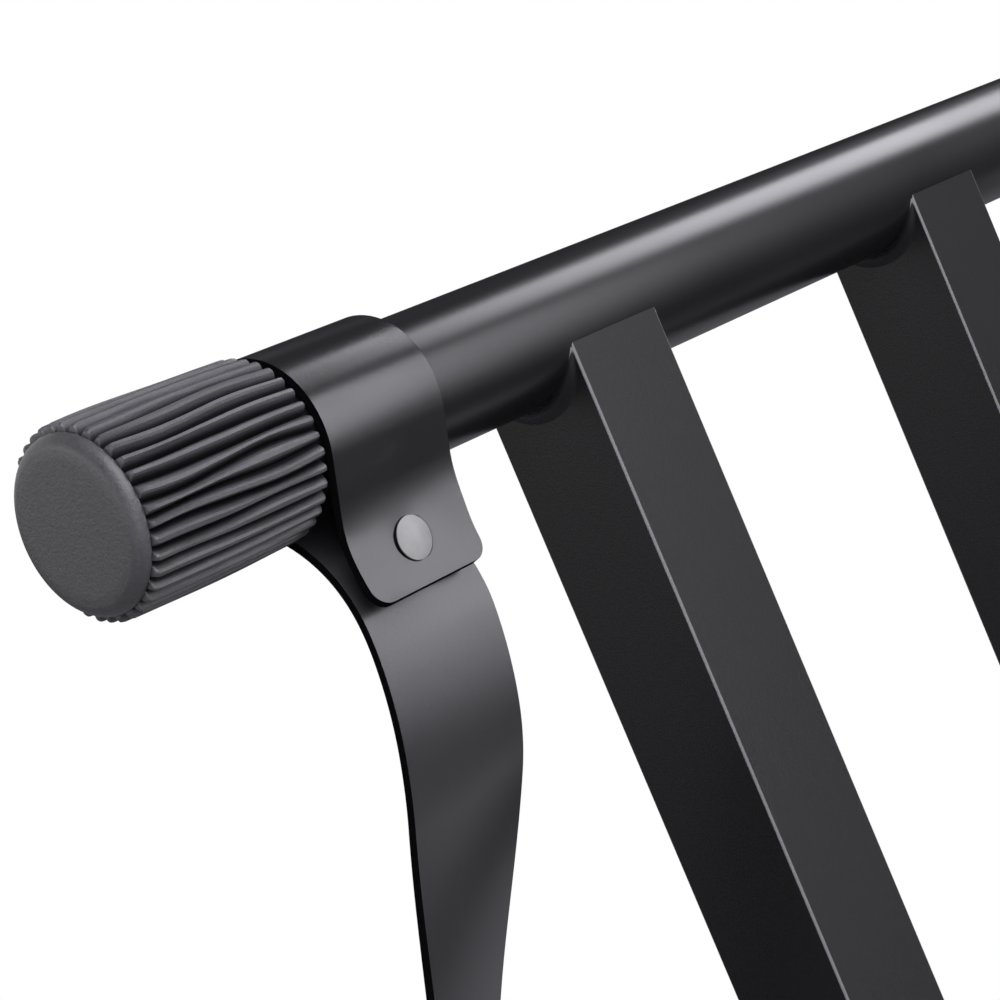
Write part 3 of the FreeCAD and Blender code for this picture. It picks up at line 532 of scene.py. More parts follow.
for node, body in (("outer_support_tube", "outer_frame"), ("outer_foot_tube", "outer_frame"),
                   ("inner_support_tube", "inner_frame"), ("inner_foot_tube", "inner_frame")):
    low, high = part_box(node)
    shape = spun(tube_profile(high.y - low.y), TUBE_STEPS)
    bmesh.ops.translate(shape, vec=(middle(node).x, low.y, middle(node).z), verts=shape.verts[:])
    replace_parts(piece(f"{node}_drawn", shape, body, "tube_paint", "tube_paint"), node)

# %% [markdown]
# The grip cap is a rubber sleeve with a smooth end disc, whose rim is rounded over, and three dozen soft ribs
# behind it. First comes half the section, down the crest of a rib: an outline walked from the disc's edge
# round its rim, a narrow groove, the swelling crest line, and the bore that the tube fills.

# %% Section of a grip cap
DISC_PROUD = 1.6 * MM
DISC_FLAT = 12.3 * MM
DISC_RINGS = (0, 0.3, 0.6, 0.85)
RIM_START, RIM_ARC, RIM_LIP = 9, (2.95 * MM, 62), (0.45 * MM, 52)
GROOVE_RADIUS = 13.6 * MM
GROOVE_WIDTH = 0.35 * MM
RIB_START = DISC_PROUD + 0.7 * MM
RIB_SWELL = DISC_PROUD + 12 * MM
RIB_CREST = 16.0 * MM
FRONT_DROP, BACK_DROP = 0.2 * MM, 0.45 * MM
RIB_ROUND = 0.8 * MM
RIB_ROWS = 30
CAP_LENGTH = DISC_PROUD + 37.6 * MM
CAP_BORE = 12.55 * MM
CAP_WALL = DISC_PROUD + 3 * MM
ARC_STEP = 7


def traced(spot, heading, *legs):
    """Points of an outline walked from a spot: each leg is a length and the angle turned on the way."""
    points = [spot]
    for length, turn in legs:
        steps = 1 + round(abs(turn) / ARC_STEP)
        for _ in range(steps):
            way = math.radians(heading + turn / steps / 2)
            spot = (spot[0] + length / steps * math.cos(way), spot[1] + length / steps * math.sin(way))
            heading += turn / steps
            points.append(spot)
    return points


def crest(depth):
    """Radius of the ribs' crest line, swelling ahead of the middle and rounded at both ends."""
    if depth < RIB_SWELL:
        radius = RIB_CREST - FRONT_DROP * ((RIB_SWELL - depth) / (RIB_SWELL - RIB_START)) ** 2
    else:
        radius = RIB_CREST - BACK_DROP * ((depth - RIB_SWELL) / (CAP_LENGTH - RIB_SWELL)) ** 2
    edge = min(1.0, (depth - RIB_START) / RIB_ROUND, (CAP_LENGTH - depth) / RIB_ROUND)
    return radius - RIB_ROUND * (1 - math.sqrt(max(0.0, 1 - (1 - edge) ** 2)))


def cap_profile():
    """Half the section: end disc, rounded rim, groove, ribs' crest line, open end and bore."""
    face = [(DISC_FLAT * share, 0.0) for share in DISC_RINGS]
    face += traced((DISC_FLAT, 0.0), RIM_START, RIM_ARC, RIM_LIP)
    groove = [(GROOVE_RADIUS, RIB_START - GROOVE_WIDTH), (GROOVE_RADIUS, RIB_START)]
    shares = [(1 - math.cos(math.pi * row / RIB_ROWS)) / 2 for row in range(RIB_ROWS + 1)]
    depths = [RIB_START + (CAP_LENGTH - RIB_START) * share for share in shares]
    inside = [(CAP_BORE, CAP_LENGTH), (CAP_BORE, CAP_WALL), (0.0, CAP_WALL)]
    return face + groove + [(crest(depth), depth) for depth in depths] + inside


print("half section of a grip cap has", len(cap_profile()), "points")

# %% [markdown]
# The ribs of the real cap aren't ruled lines: they wander and swell like pleats. A spin gives the sleeve,
# with ten columns of vertices to a rib. Then each column is sunk by its place across the rib and slid round
# the cap by a slow noise, so that the mesh itself follows the pleats.

# %% Ribbed grip caps
RIBS = 36
COLUMNS = 10
VALLEY = 13.3 * MM
RIB_POWER, RIB_FULLNESS = 0.95, 1.06
WANDER, WANDER_LENGTH = 0.34, 19 * MM
SWELL, SWELL_LENGTH = 0.16 * MM, 17 * MM
NOISE_STEP, SWELL_STEP, SWELL_SEED = 5.3, 3.1, 9
CAP_SEED = 31.0
CAP_CREASE = 14
RIB_FLOOR = GROOVE_RADIUS + 0.1 * MM
HAIR = 0.01 * MM


def rib_edge(number, depth, seed):
    """Where a groove runs at a depth, counted in ribs."""
    return number + WANDER * noise.noise(Vector((number % RIBS * NOISE_STEP, depth / WANDER_LENGTH, seed)))


def pleat(shape, seed):
    """Sink and slide the columns of a plain sleeve, and note how deep each place lies."""
    groove = shape.verts.layers.float.new("groove")
    for spot in shape.verts:
        radius = math.hypot(spot.co.x, spot.co.z)
        if radius < RIB_FLOOR or spot.co.y < RIB_START - HAIR:
            continue
        turn = math.atan2(spot.co.z, spot.co.x) / math.tau * RIBS
        number = math.floor(turn + 1e-4)
        share = max(0.0, turn - number)
        start, end = (rib_edge(number + step, spot.co.y, seed) for step in (0, 1))
        flow = Vector((number % RIBS * SWELL_STEP, spot.co.y / SWELL_LENGTH, seed + SWELL_SEED))
        swell = SWELL * noise.noise(flow)
        height = min(1.0, RIB_FULLNESS * math.sin(math.pi * share) ** RIB_POWER)
        # How deep a place lies in its groove; the cap's finish paints shade from it.
        spot[groove] = 1 - height
        radius = VALLEY + (radius - VALLEY + swell) * height
        angle = (start + (end - start) * share) / RIBS * math.tau
        spot.co.x, spot.co.z = radius * math.cos(angle), radius * math.sin(angle)


def grip_cap(node, body, seed):
    shape = spun(cap_profile(), RIBS * COLUMNS)
    pleat(shape, seed)
    low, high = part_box(node)
    front = low.y < 0
    if not front:
        half_turn = Matrix.Rotation(math.pi, 3, "Z")
        bmesh.ops.rotate(shape, cent=(0, 0, 0), matrix=half_turn, verts=shape.verts[:])
    end = low.y - DISC_PROUD if front else high.y + DISC_PROUD
    spot = Vector(((low.x + high.x) / 2, end, (low.z + high.z) / 2))
    bmesh.ops.translate(shape, vec=spot, verts=shape.verts[:])
    made = piece(f"{node}_ribbed", shape, body, "cap_rubber", "cap_rubber", crease=CAP_CREASE)
    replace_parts(made, node)


for seed, (node, body) in enumerate((
    ("outer_front_grip_cap", "outer_frame"),
    ("outer_rear_grip_cap", "outer_frame"),
    ("inner_front_grip_cap", "inner_frame"),
    ("inner_rear_grip_cap", "inner_frame"),
)):
    grip_cap(node, body, seed * CAP_SEED)

# %% [markdown]
# The strap is one strip of vinyl: a tab, a loop round the tube and a hanging tail. A strip is easiest to make
# as it is worn, by extruding its leading edge in short steps along a route. Each stretch of the route is a
# bend, given by its radius and turn in degrees, or a straight run, given by None and a length. Short steps at
# both ends leave room to round the corners.

# %% The strap's route
STRAP_WIDTH = 27 * MM
STRAP_THICK = 1.6 * MM
CORNER = 3.4 * MM
CORNER_STEPS = 8
FINE_STEP, COARSE_STEP = 1.25 * MM, 4 * MM
FINE_UP_TO = 160 * MM
SHORTEST_STEP = 0.02 * MM
LOOP_RADIUS = 14.0 * MM
LOOP_START = 9
TAB_STRAIGHT = 7.4 * MM
TAB_RADIUS = 29.8 * MM
TAB_TURN = 36.5
ROUTE = (
    (TAB_RADIUS, -TAB_TURN),
    (None, TAB_STRAIGHT),
    (LOOP_RADIUS, 257 - LOOP_START),
    (None, 8.6 * MM),
    (27 * MM, -52),
    (69 * MM, -25),
    (None, 292 * MM),
)


def leg_length(radius, amount):
    return amount if radius is None else radius * math.radians(abs(amount))


STRAP_LENGTH = sum(leg_length(*leg) for leg in ROUTE)
TAB_END = sum(leg_length(*leg) for leg in ROUTE[:2])
LOOP_END = sum(leg_length(*leg) for leg in ROUTE[:3])
print("strap cut length", round(STRAP_LENGTH, 4))


def stations():
    """Distances along the strap where its edge is extruded, close together at the ends."""
    rounds = [CORNER * (1 - math.cos(math.pi / 2 * n / CORNER_STEPS)) for n in range(CORNER_STEPS + 1)]
    marks = rounds + [STRAP_LENGTH - mark for mark in rounds]
    spot = CORNER
    while spot < STRAP_LENGTH - CORNER:
        marks.append(spot)
        spot += FINE_STEP if spot < FINE_UP_TO else COARSE_STEP
    start = 0
    for leg in ROUTE[:-1]:
        start += leg_length(*leg)
        marks.append(start)
    tidy = []
    for mark in sorted(marks):
        if not tidy or mark - tidy[-1] > SHORTEST_STEP:
            tidy.append(mark)
    return tidy


def turn_at(distance):
    """Signed radius of the route just after a distance; None where it runs straight."""
    for radius, amount in ROUTE:
        distance -= leg_length(radius, amount)
        if distance < -SHORTEST_STEP / 20:
            break
    return None if radius is None else math.copysign(radius, amount)


# %% [markdown]
# The strip starts as one edge across the tab's end, cut into two dozen pieces. Each step extrudes that edge
# and moves the new one on: straight ahead, or turned about the centre of the bend. Every vertex keeps its
# distance along the strap, so that later steps can tell tab, loop and tail apart.


# %% The strap as a plain strip
def way_at(degrees):
    """A direction in the strap's own XZ plane, from +X towards +Z."""
    return Vector((math.cos(math.radians(degrees)), 0, math.sin(math.radians(degrees))))


FLARE = (LOOP_RADIUS + TAB_RADIUS) * way_at(LOOP_START) - TAB_STRAIGHT * way_at(LOOP_START + 90)
CUTS_ACROSS = 23


def strap_strip():
    shape = bmesh.new()
    run = shape.verts.layers.float.new("run")
    spot = FLARE - TAB_RADIUS * way_at(LOOP_START + TAB_TURN)
    heading = math.radians(LOOP_START + TAB_TURN + 90)
    ends = [shape.verts.new(spot + Vector((0, side * STRAP_WIDTH / 2, 0))) for side in (-1, 1)]
    lead = [shape.edges.new(ends)]
    lead = [e for e in bmesh.ops.subdivide_edges(shape, edges=lead, cuts=CUTS_ACROSS)["geom_split"]
            if isinstance(e, bmesh.types.BMEdge)]
    marks = stations()
    for start, end in zip(marks, marks[1:]):
        made = bmesh.ops.extrude_edge_only(shape, edges=lead)["geom"]
        fresh = {v for v in made if isinstance(v, bmesh.types.BMVert)}
        lead = [e for e in made if isinstance(e, bmesh.types.BMEdge) and set(e.verts) <= fresh]
        radius = turn_at(start)
        if radius is None:
            step = Vector((math.cos(heading), 0, math.sin(heading))) * (end - start)
            bmesh.ops.translate(shape, vec=step, verts=list(fresh))
            spot = spot + step
        else:
            angle = (end - start) / radius
            centre = spot + Vector((-math.sin(heading), 0, math.cos(heading))) * radius
            swing = Matrix.Rotation(-angle, 3, "Y")
            bmesh.ops.rotate(shape, cent=centre, matrix=swing, verts=list(fresh))
            spot = centre + swing @ (spot - centre)
            heading += angle
        for vert in fresh:
            vert[run] = end
    return shape, run, spot


print("strip is extruded in", len(stations()) - 1, "steps")

# %% [markdown]
# Three things make the strap look worn rather than bent from tin. The rivet dents the tab and draws the tail
# against it, the tab lifts a little at its far edge, and the tail turns about the vertical as it hangs. All
# three move the vertices of the finished strip.

# %% Wear
RIVET_TURN = 21
RIVET_WAY = way_at(LOOP_START + RIVET_TURN)
RIVET_SPOT = FLARE - RIVET_WAY * (TAB_RADIUS - STRAP_THICK / 2)
PRESS, PRESS_SPREAD = 0.25 * MM, 3.2 * MM
PULL, PULL_SPREAD, PULL_REACH = 1.2 * MM, 6.5 * MM, 25 * MM
TAB_LIFT, TAB_LIFT_AT, TAB_LIFT_SPREAD = 0.5 * MM, -13 * MM, 5 * MM
TWISTS = ((-16, -30, -3.7), (-46, -118, 23.0))


def eased(share):
    """A smooth step from 0 to 1."""
    share = min(1.0, max(0.0, share))
    return share * share * (3 - 2 * share)


def twisted(spot, centre_x):
    """A point of the tail after it has turned about its own upright middle line, as TWISTS says.

    Each twist starts and ends at a height in millimetres and turns by some degrees in between.
    """
    angle = 0
    for start, end, turn in TWISTS:
        angle += turn * eased((start * MM - spot.z) / ((start - end) * MM))
    offset = Vector((spot.x - centre_x, spot.y, 0))
    offset.rotate(Matrix.Rotation(math.radians(angle), 3, "Z"))
    return Vector((centre_x + offset.x, offset.y, spot.z))


def worn(shape, run):
    """Round the corners, press in the rivet and let the tail turn."""
    for vert in shape.verts:
        distance = vert[run]
        near_end = min(distance, STRAP_LENGTH - distance)
        if near_end < CORNER:
            inner = STRAP_WIDTH / 2 - CORNER
            reach = inner + math.sqrt(max(0.0, CORNER ** 2 - (CORNER - near_end) ** 2))
            vert.co.y *= reach / (STRAP_WIDTH / 2)
        offset = vert.co - RIVET_SPOT
        depth = offset.dot(RIVET_WAY)
        apart = (offset - RIVET_WAY * depth).length
        if distance < TAB_END:
            lift = TAB_LIFT * math.exp(-((vert.co.z - TAB_LIFT_AT) / TAB_LIFT_SPREAD) ** 2)
            vert.co.x += lift * vert.co.y / (STRAP_WIDTH / 2)
            vert.co -= RIVET_WAY * PRESS * math.exp(-(apart / PRESS_SPREAD) ** 2)
        elif distance > LOOP_END and apart < PULL_REACH:
            vert.co += RIVET_WAY * PULL * math.exp(-(apart / PULL_SPREAD) ** 2)
        if distance > LOOP_END:
            vert.co = twisted(vert.co, vert.co.x)


print("rivet sits", [round(x, 4) for x in RIVET_SPOT], "from the tube axis")

# %% [markdown]
# A worn strip is laid on its tube, turned half round for the second strap, which hangs at the other end of
# the other tube. Solidify then gives it thickness, with the dull finish on its cut edge and the rougher one
# on its back, and a small Bevel takes the sharpness off the edge.

# %% Lay a strap round its tube
EDGE_ROUND, EDGE_ANGLE = 0.12 * MM, 60
EDGE_FINISH, BACK_FINISH = 1, 2


def strap_place(axis, node, turned_round):
    """From the strap's own axes to the frame: onto the tube axis, at the CAD strap's depth."""
    place = Matrix.Translation(Vector((axis.x, middle(node).y, axis.z)))
    return place @ Matrix.Rotation(math.pi, 4, "Z") if turned_round else place


def strap(node, body, axis, turned_round):
    shape, run, tail_end = strap_strip()
    worn(shape, run)
    place = strap_place(axis, node, turned_round)
    bmesh.ops.transform(shape, matrix=place, verts=shape.verts[:])
    bmesh.ops.recalc_face_normals(shape, faces=shape.faces[:])
    made = piece(f"{node}_vinyl", shape, body, "strap_vinyl", "strap_vinyl", "strap_edge", "strap_back",
                 crease=180)
    wall = made.modifiers.new("wall", "SOLIDIFY")
    wall.thickness = STRAP_THICK
    wall.offset = 0
    wall.material_offset = BACK_FINISH
    wall.material_offset_rim = EDGE_FINISH
    soften = made.modifiers.new("soften", "BEVEL")
    soften.width = EDGE_ROUND
    soften.segments = 2
    soften.limit_method = "ANGLE"
    soften.angle_limit = math.radians(EDGE_ANGLE)
    soften.material = EDGE_FINISH
    soften.harden_normals = True
    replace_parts(made, node)
    return made, tail_end


left_strap, TAIL_END = strap("outer_strap", "left_strap", LEFT_AXIS, False)
right_strap, _ = strap("inner_strap", "right_strap", RIGHT_AXIS, True)
print("tail ends", round(TAIL_END.x, 4), round(TAIL_END.z, 4), "from the tube axis")

# %% [markdown]
# The rivet is a low satin nickel dome; behind the tail its shank is spread into a small flat burr. Both are
# turned shapes, so one spin makes head, shank and burr together. A second spin makes a dark ring round the
# head in the dull edge finish: painted shade for the thin shadow gap between the head and the vinyl.

# %% Rivets
HEAD_RADIUS = 3.75 * MM
HEAD_RISE = 0.26 * MM
HEAD_LIFT = 0.4 * MM
SHANK_RADIUS = 1.5 * MM
GRIP = 2 * STRAP_THICK
BURR_RADIUS = 3.0 * MM
BURR = 0.8 * MM
SHADE_RING_RADIUS = 4.15 * MM
SHADE_RING_RISE = 0.3 * MM
SHADE_RING_SLOPE = 0.2 * MM
EDGE_BULGE, EDGE_DROP = 0.05 * MM, 0.1 * MM
BURR_BEND = 1.4
SEATED = 0.4
DOME_STEPS, RIVET_STEPS = 8, 64


def rivet_profile():
    """Half the section: a low dome, its upright edge, the shank through both layers and the burr."""
    shares = [step / DOME_STEPS for step in range(DOME_STEPS + 1)]
    dome = [(HEAD_RADIUS * share, HEAD_LIFT + HEAD_RISE * (1 - share ** 2)) for share in shares]
    edge = [(HEAD_RADIUS + EDGE_BULGE, HEAD_LIFT - EDGE_DROP), (HEAD_RADIUS, 0.0), (SHANK_RADIUS, 0.0)]
    burr = traced((SHANK_RADIUS, -GRIP), 0, (BURR_RADIUS - SHANK_RADIUS, 0), (BURR * BURR_BEND, -180))
    return dome + edge + burr + [(0.0, burr[-1][1])]


def rivet(node, body, axis, strap_node, turned_round):
    shape = spun(rivet_profile(), RIVET_STEPS)
    # A dark ring in the edge finish, painted shade for the shadow gap round the head.
    seam = spun([(SHANK_RADIUS, 0.0), (SHANK_RADIUS, SHADE_RING_RISE), (SHADE_RING_RADIUS - SHADE_RING_SLOPE, SHADE_RING_RISE),
                 (SHADE_RING_RADIUS, 0.0), (SHADE_RING_RADIUS, -SHADE_RING_RISE), (SHANK_RADIUS, -SHADE_RING_RISE),
                 (SHANK_RADIUS, 0.0)], RIVET_STEPS)
    for face in seam.faces:
        face.material_index = 1
    joined(shape, seam)
    upright = Vector((0, 1, 0)).rotation_difference(RIVET_WAY).to_matrix().to_4x4()
    seat = Matrix.Translation(RIVET_SPOT - RIVET_WAY * PRESS * SEATED)
    place = strap_place(axis, strap_node, turned_round)
    bmesh.ops.transform(shape, matrix=place @ seat @ upright, verts=shape.verts[:])
    made = piece(f"{node}_domed", shape, body, "rivet_nickel", "rivet_nickel", "strap_edge", crease=30)
    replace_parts(made, node)
    return made


left_rivet = rivet("outer_strap_rivet", "left_strap", LEFT_AXIS, "outer_strap", False)
right_rivet = rivet("inner_strap_rivet", "right_strap", RIGHT_AXIS, "inner_strap", True)

# %% [markdown]
# The fastener pads are sewn to the back of the tail. Each is a thin slab with rounded corners and a soft
# edge, turned with the tail. A row of short stitches just inside its outline holds it.

# %% Hook and loop pads
PAD_THICK = 1.2 * MM
PAD_WIDTH = 22 * MM
PAD_LENGTH = 80 * MM
PAD_CORNER = 2.5 * MM
PAD_EDGE = 0.3 * MM
PAD_FIRST, PAD_PITCH = 5.0 * MM, 82.5 * MM
STITCH, STITCH_INSET = 3.2 * MM, 1.6 * MM
THREAD_LENGTH, THREAD_WIDTH, THREAD_RISE = 1.1 * MM, 0.22 * MM, 0.16 * MM


def slab(width, length, thick, corner):
    """A rounded slab, lying in the YZ plane with its back at x 0."""
    shape = bmesh.new()
    bmesh.ops.create_cube(shape, size=1.0)
    bmesh.ops.scale(shape, vec=(thick, width, length), verts=shape.verts[:])
    corners = [e for e in shape.edges if abs((e.verts[0].co - e.verts[1].co).x) > thick / 2]
    bmesh.ops.bevel(shape, geom=corners, offset=corner, affect="EDGES", segments=6, profile=0.5, material=-1)
    rims = [e for e in shape.edges if abs((e.verts[0].co - e.verts[1].co).x) < thick / 2
            and e.verts[0].co.x < 0]
    bmesh.ops.bevel(shape, geom=rims, offset=PAD_EDGE, affect="EDGES", segments=2, profile=0.5, material=-1)
    cuts = [e for e in shape.edges if abs((e.verts[0].co - e.verts[1].co).z) > length / 2]
    bmesh.ops.subdivide_edges(shape, edges=cuts, cuts=15, use_grid_fill=True)
    bmesh.ops.translate(shape, vec=(-thick / 2, 0, 0), verts=shape.verts[:])
    return shape


def stitches(shape, width, length, back):
    """Short thread ends round the slab, just inside its edge."""
    half_y, half_z = width / 2 - STITCH_INSET, length / 2 - STITCH_INSET
    for upright, half, across in ((True, half_z, half_y), (False, half_y, half_z)):
        count = int(2 * half / STITCH)
        for number in range(count):
            run = -half + (number + 0.5) * 2 * half / count
            for side in (-1, 1):
                spot = Vector((back, side * across, run) if upright else (back, run, side * across))
                thread = bmesh.ops.create_icosphere(shape, subdivisions=1, radius=1.0)["verts"]
                deep, up = (THREAD_WIDTH, THREAD_LENGTH) if upright else (THREAD_LENGTH, THREAD_WIDTH)
                bmesh.ops.scale(shape, vec=(THREAD_RISE, deep, up), verts=thread)
                bmesh.ops.translate(shape, vec=spot, verts=thread)


def pad(node, body, axis, strap_node, finish_name, number, turned_round):
    shape = slab(PAD_WIDTH, PAD_LENGTH, PAD_THICK, PAD_CORNER)
    stitches(shape, PAD_WIDTH, PAD_LENGTH, -PAD_THICK)
    low = TAIL_END.z + PAD_FIRST + number * PAD_PITCH
    back = TAIL_END.x - STRAP_THICK / 2
    bmesh.ops.translate(shape, vec=(back, 0, low + PAD_LENGTH / 2), verts=shape.verts[:])
    for vert in shape.verts:
        vert.co = twisted(vert.co, TAIL_END.x)
    bmesh.ops.transform(shape, matrix=strap_place(axis, strap_node, turned_round), verts=shape.verts[:])
    made = piece(f"{node}_sewn", shape, body, finish_name, finish_name, crease=40)
    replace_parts(made, node)
    return made


left_pads = [pad("outer_strap_hook_pad", "left_strap", LEFT_AXIS, "outer_strap", "hook_pad", 0, False),
             pad("outer_strap_loop_pad", "left_strap", LEFT_AXIS, "outer_strap", "loop_pad", 1, False)]
right_pads = [pad("inner_strap_hook_pad", "right_strap", RIGHT_AXIS, "inner_strap", "hook_pad", 0, True),
              pad("inner_strap_loop_pad", "right_strap", RIGHT_AXIS, "inner_strap", "loop_pad", 1, True)]

# %% [markdown]
# Each leg is welded to its tubes along the two faces that meet the tube square on. The painted weld is a
# small hollow fillet. Because the seam is an arc of the tube itself, a spin of the fillet's section about the
# tube axis makes it exactly, thinning out towards its ends, and two cuts trim it to the width of the leg. In
# a frame's own axes the pivot is the origin and the legs stand upright, with one tube a reach above the pivot
# and one a reach below.

# %% Weld fillets
WELD, WELD_SINK, WELD_ROOT, WELD_TRIM = 3.2 * MM, 0.03 * MM, 0.3 * MM, 0.35 * MM
WELD_STEPS, HOLLOW_STEPS = 48, 7
WELD_TAPER = 3
REACH = 455 * MM
TUBE_OFFSET = 0.5 * MM
OUTER_PLACE = Matrix.Translation(PIVOT) @ Matrix.Rotation(-LEAN, 4, "Y")
INNER_PLACE = Matrix.Rotation(math.pi, 4, "Z") @ OUTER_PLACE
LEGS = {
    "outer_frame": (OUTER_PLACE, [middle("outer_front_leg").y, middle("outer_rear_leg").y]),
    "inner_frame": (INNER_PLACE, [-middle("inner_front_leg").y, -middle("inner_rear_leg").y]),
}


def weld_fillet(face_depth, outward, end):
    """One fillet in a frame's own axes; outward is the side of the leg, end the support or foot tube."""
    shape = bmesh.new()
    hollow = [(WELD * (1 - math.sin(a)), WELD * (1 - math.cos(a)))
              for a in (math.pi / 2 * n / HOLLOW_STEPS for n in range(HOLLOW_STEPS + 1))]
    section = [(TUBE_RADIUS + rise - WELD_SINK, face_depth + outward * (reach - WELD_SINK))
               for rise, reach in hollow]
    section.append((TUBE_RADIUS - WELD_ROOT, face_depth - outward * WELD_ROOT))
    axis = Vector((TUBE_OFFSET, 0, end * REACH))
    spots = [shape.verts.new(axis + Vector((radius, depth, 0))) for radius, depth in section]
    for number, spot in enumerate(spots):
        shape.edges.new((spot, spots[number - 1]))
    bmesh.ops.spin(shape, geom=shape.verts[:] + shape.edges[:], cent=axis, axis=(0, 1, 0),
                   angle=end * math.pi, steps=WELD_STEPS)
    seam = Vector((0, face_depth, 0))
    for vert in shape.verts:
        from_axis = Vector((vert.co.x - axis.x, 0, vert.co.z - axis.z))
        foot = axis + seam + from_axis.normalized() * TUBE_RADIUS
        share = max(0.0, 1 - abs(foot.x / LEG_HALF) ** WELD_TAPER)
        vert.co = foot + (vert.co - foot) * share
    for side in (-1, 1):
        cut_at = Vector((side * (LEG_HALF - WELD_TRIM), 0, 0))
        bmesh.ops.bisect_plane(shape, geom=shape.verts[:] + shape.edges[:] + shape.faces[:], plane_co=cut_at,
                               plane_no=(side, 0, 0), clear_outer=True, dist=MERGE / 2)
    rims = [e for e in shape.edges if e.is_boundary]
    bmesh.ops.holes_fill(shape, edges=rims, sides=0)
    bmesh.ops.recalc_face_normals(shape, faces=shape.faces[:])
    return shape


for body, (place, depths) in LEGS.items():
    welds = bmesh.new()
    for depth in depths:
        for outward in (-1, 1):
            for end in (-1, 1):
                fillet = weld_fillet(depth + outward * LEG_HALF, outward, end)
                bmesh.ops.transform(fillet, matrix=place, verts=fillet.verts[:])
                joined(welds, fillet)
    piece(f"{body}_welds", welds, body, "leg_coat", "leg_coat", crease=50)

# %% [markdown]
# The set is a plain studio: a pale floor that runs out to white all round, as a paper sweep does, and white
# walls. Black paint shows whatever it mirrors, so the set has two black cards, one to the camera's right of
# the stand and one straight behind it; only the gloss meets them. Only the lens and the gloss see the white,
# too, and matt surfaces are lit by the lamps and a dim room.

# %% What looks white
BLACK_CARDS = ((44, 33), (129, 17))
CARD_FADE_OUT, CARD_FADE_IN = 5, 3


def kinds_of_ray(tree):
    """The rays of the lens, and the rays of gloss and glass."""
    ray = tree.nodes.new("ShaderNodeLightPath")
    names = ("Is Camera Ray", "Is Glossy Ray", "Is Transmission Ray")
    lens, gloss, glass = (Wire(tree, ray.outputs[name]) for name in names)
    return lens, gloss + glass


def open_side(way):
    """1 for a level direction towards white, 0 at the cards; each has a middle azimuth and a half width."""
    share = 1
    for azimuth, half in BLACK_CARDS:
        card = (math.cos(math.radians(azimuth)), math.sin(math.radians(azimuth)), 0)
        fade = [math.cos(math.radians(angle)) for angle in (half + CARD_FADE_OUT, half - CARD_FADE_IN)]
        share = share * (1 - peaks(along(way, card), *fade))
    return share


print("black cards at", [azimuth for azimuth, _ in BLACK_CARDS], "degrees")

# %% [markdown]
# The floor is one wide sheet of matt paper in line with the camera. Near the stand it is plain paper and
# keeps the stand's shadow. Further off it looks white, for the lens sooner than for the gloss.

# %% Floor
SWEEP_TURN = math.radians(39)
SWEEP_WIDTH, SWEEP_LENGTH, SWEEP_BACK = 6.0, 11.0, 3.0
LENS_WHITE = (0.55, 1.05)
GLOSS_WHITE = (1.8, 2.3)
floor_shape = bmesh.new()
bmesh.ops.create_grid(floor_shape, x_segments=1, y_segments=1, size=0.5)
bmesh.ops.scale(floor_shape, vec=(SWEEP_WIDTH, SWEEP_LENGTH, 1), verts=floor_shape.verts[:])
bmesh.ops.translate(floor_shape, vec=(0, SWEEP_BACK, 0), verts=floor_shape.verts[:])
bmesh.ops.rotate(floor_shape, cent=(0, 0, 0), matrix=Matrix.Rotation(SWEEP_TURN, 3, "Z"),
                 verts=floor_shape.verts[:])
floor_mesh = bpy.data.meshes.new("floor")
floor_shape.to_mesh(floor_mesh)
floor_shape.free()
floor = bpy.data.objects.new("floor", floor_mesh)
bpy.context.scene.collection.objects.link(floor)


def floor_paper():
    material = bpy.data.materials.new("floor_paper")
    material.use_nodes = True
    tree = material.node_tree
    here = Wire(tree).node("ShaderNodeTexCoord", {}, {}, "Object")
    far = here.node("ShaderNodeVectorMath", {"operation": "LENGTH"}, {0: here}, "Value")
    way = here.node("ShaderNodeVectorMath", {"operation": "NORMALIZE"}, {0: here})
    lens, gloss = kinds_of_ray(tree)
    white = lens * peaks(far, *LENS_WHITE) + gloss * peaks(far, *GLOSS_WHITE) * open_side(way)
    shader = tree.nodes["Principled BSDF"]
    shader.inputs["Base Color"].default_value = (0.55, 0.55, 0.56, 1)
    shader.inputs["Roughness"].default_value = 0.9
    shader.inputs["Specular IOR Level"].default_value = 0.0
    glow = tree.nodes.new("ShaderNodeEmission")
    blend = tree.nodes.new("ShaderNodeMixShader")
    tree.links.new(white.socket, blend.inputs[0])
    tree.links.new(shader.outputs[0], blend.inputs[1])
    tree.links.new(glow.outputs[0], blend.inputs[2])
    tree.links.new(blend.outputs[0], tree.nodes["Material Output"].inputs["Surface"])
    return material


floor_mesh.materials.append(floor_paper())
print("floor", SWEEP_WIDTH, "by", SWEEP_LENGTH, "m")

# %% [markdown]
# A soft lamp is placed where the highlight wants it. Mirroring the line of sight in the tube and the strap
# shows where each band of light comes from: a leaning strip and a small low panel on the camera's right, a
# wide panel higher up behind the stand, with a dark gap between them, and a weak card low on the right for
# the strap's tail. Tube and strap loop can't mirror a lamp on the near side, so the top, front and edge
# panels serve the caps and the legs.

# %% Lamps
AIM = Vector((-0.21, -0.10, 0.80))
LAMP_TINT = (0.985, 0.98, 1.05)


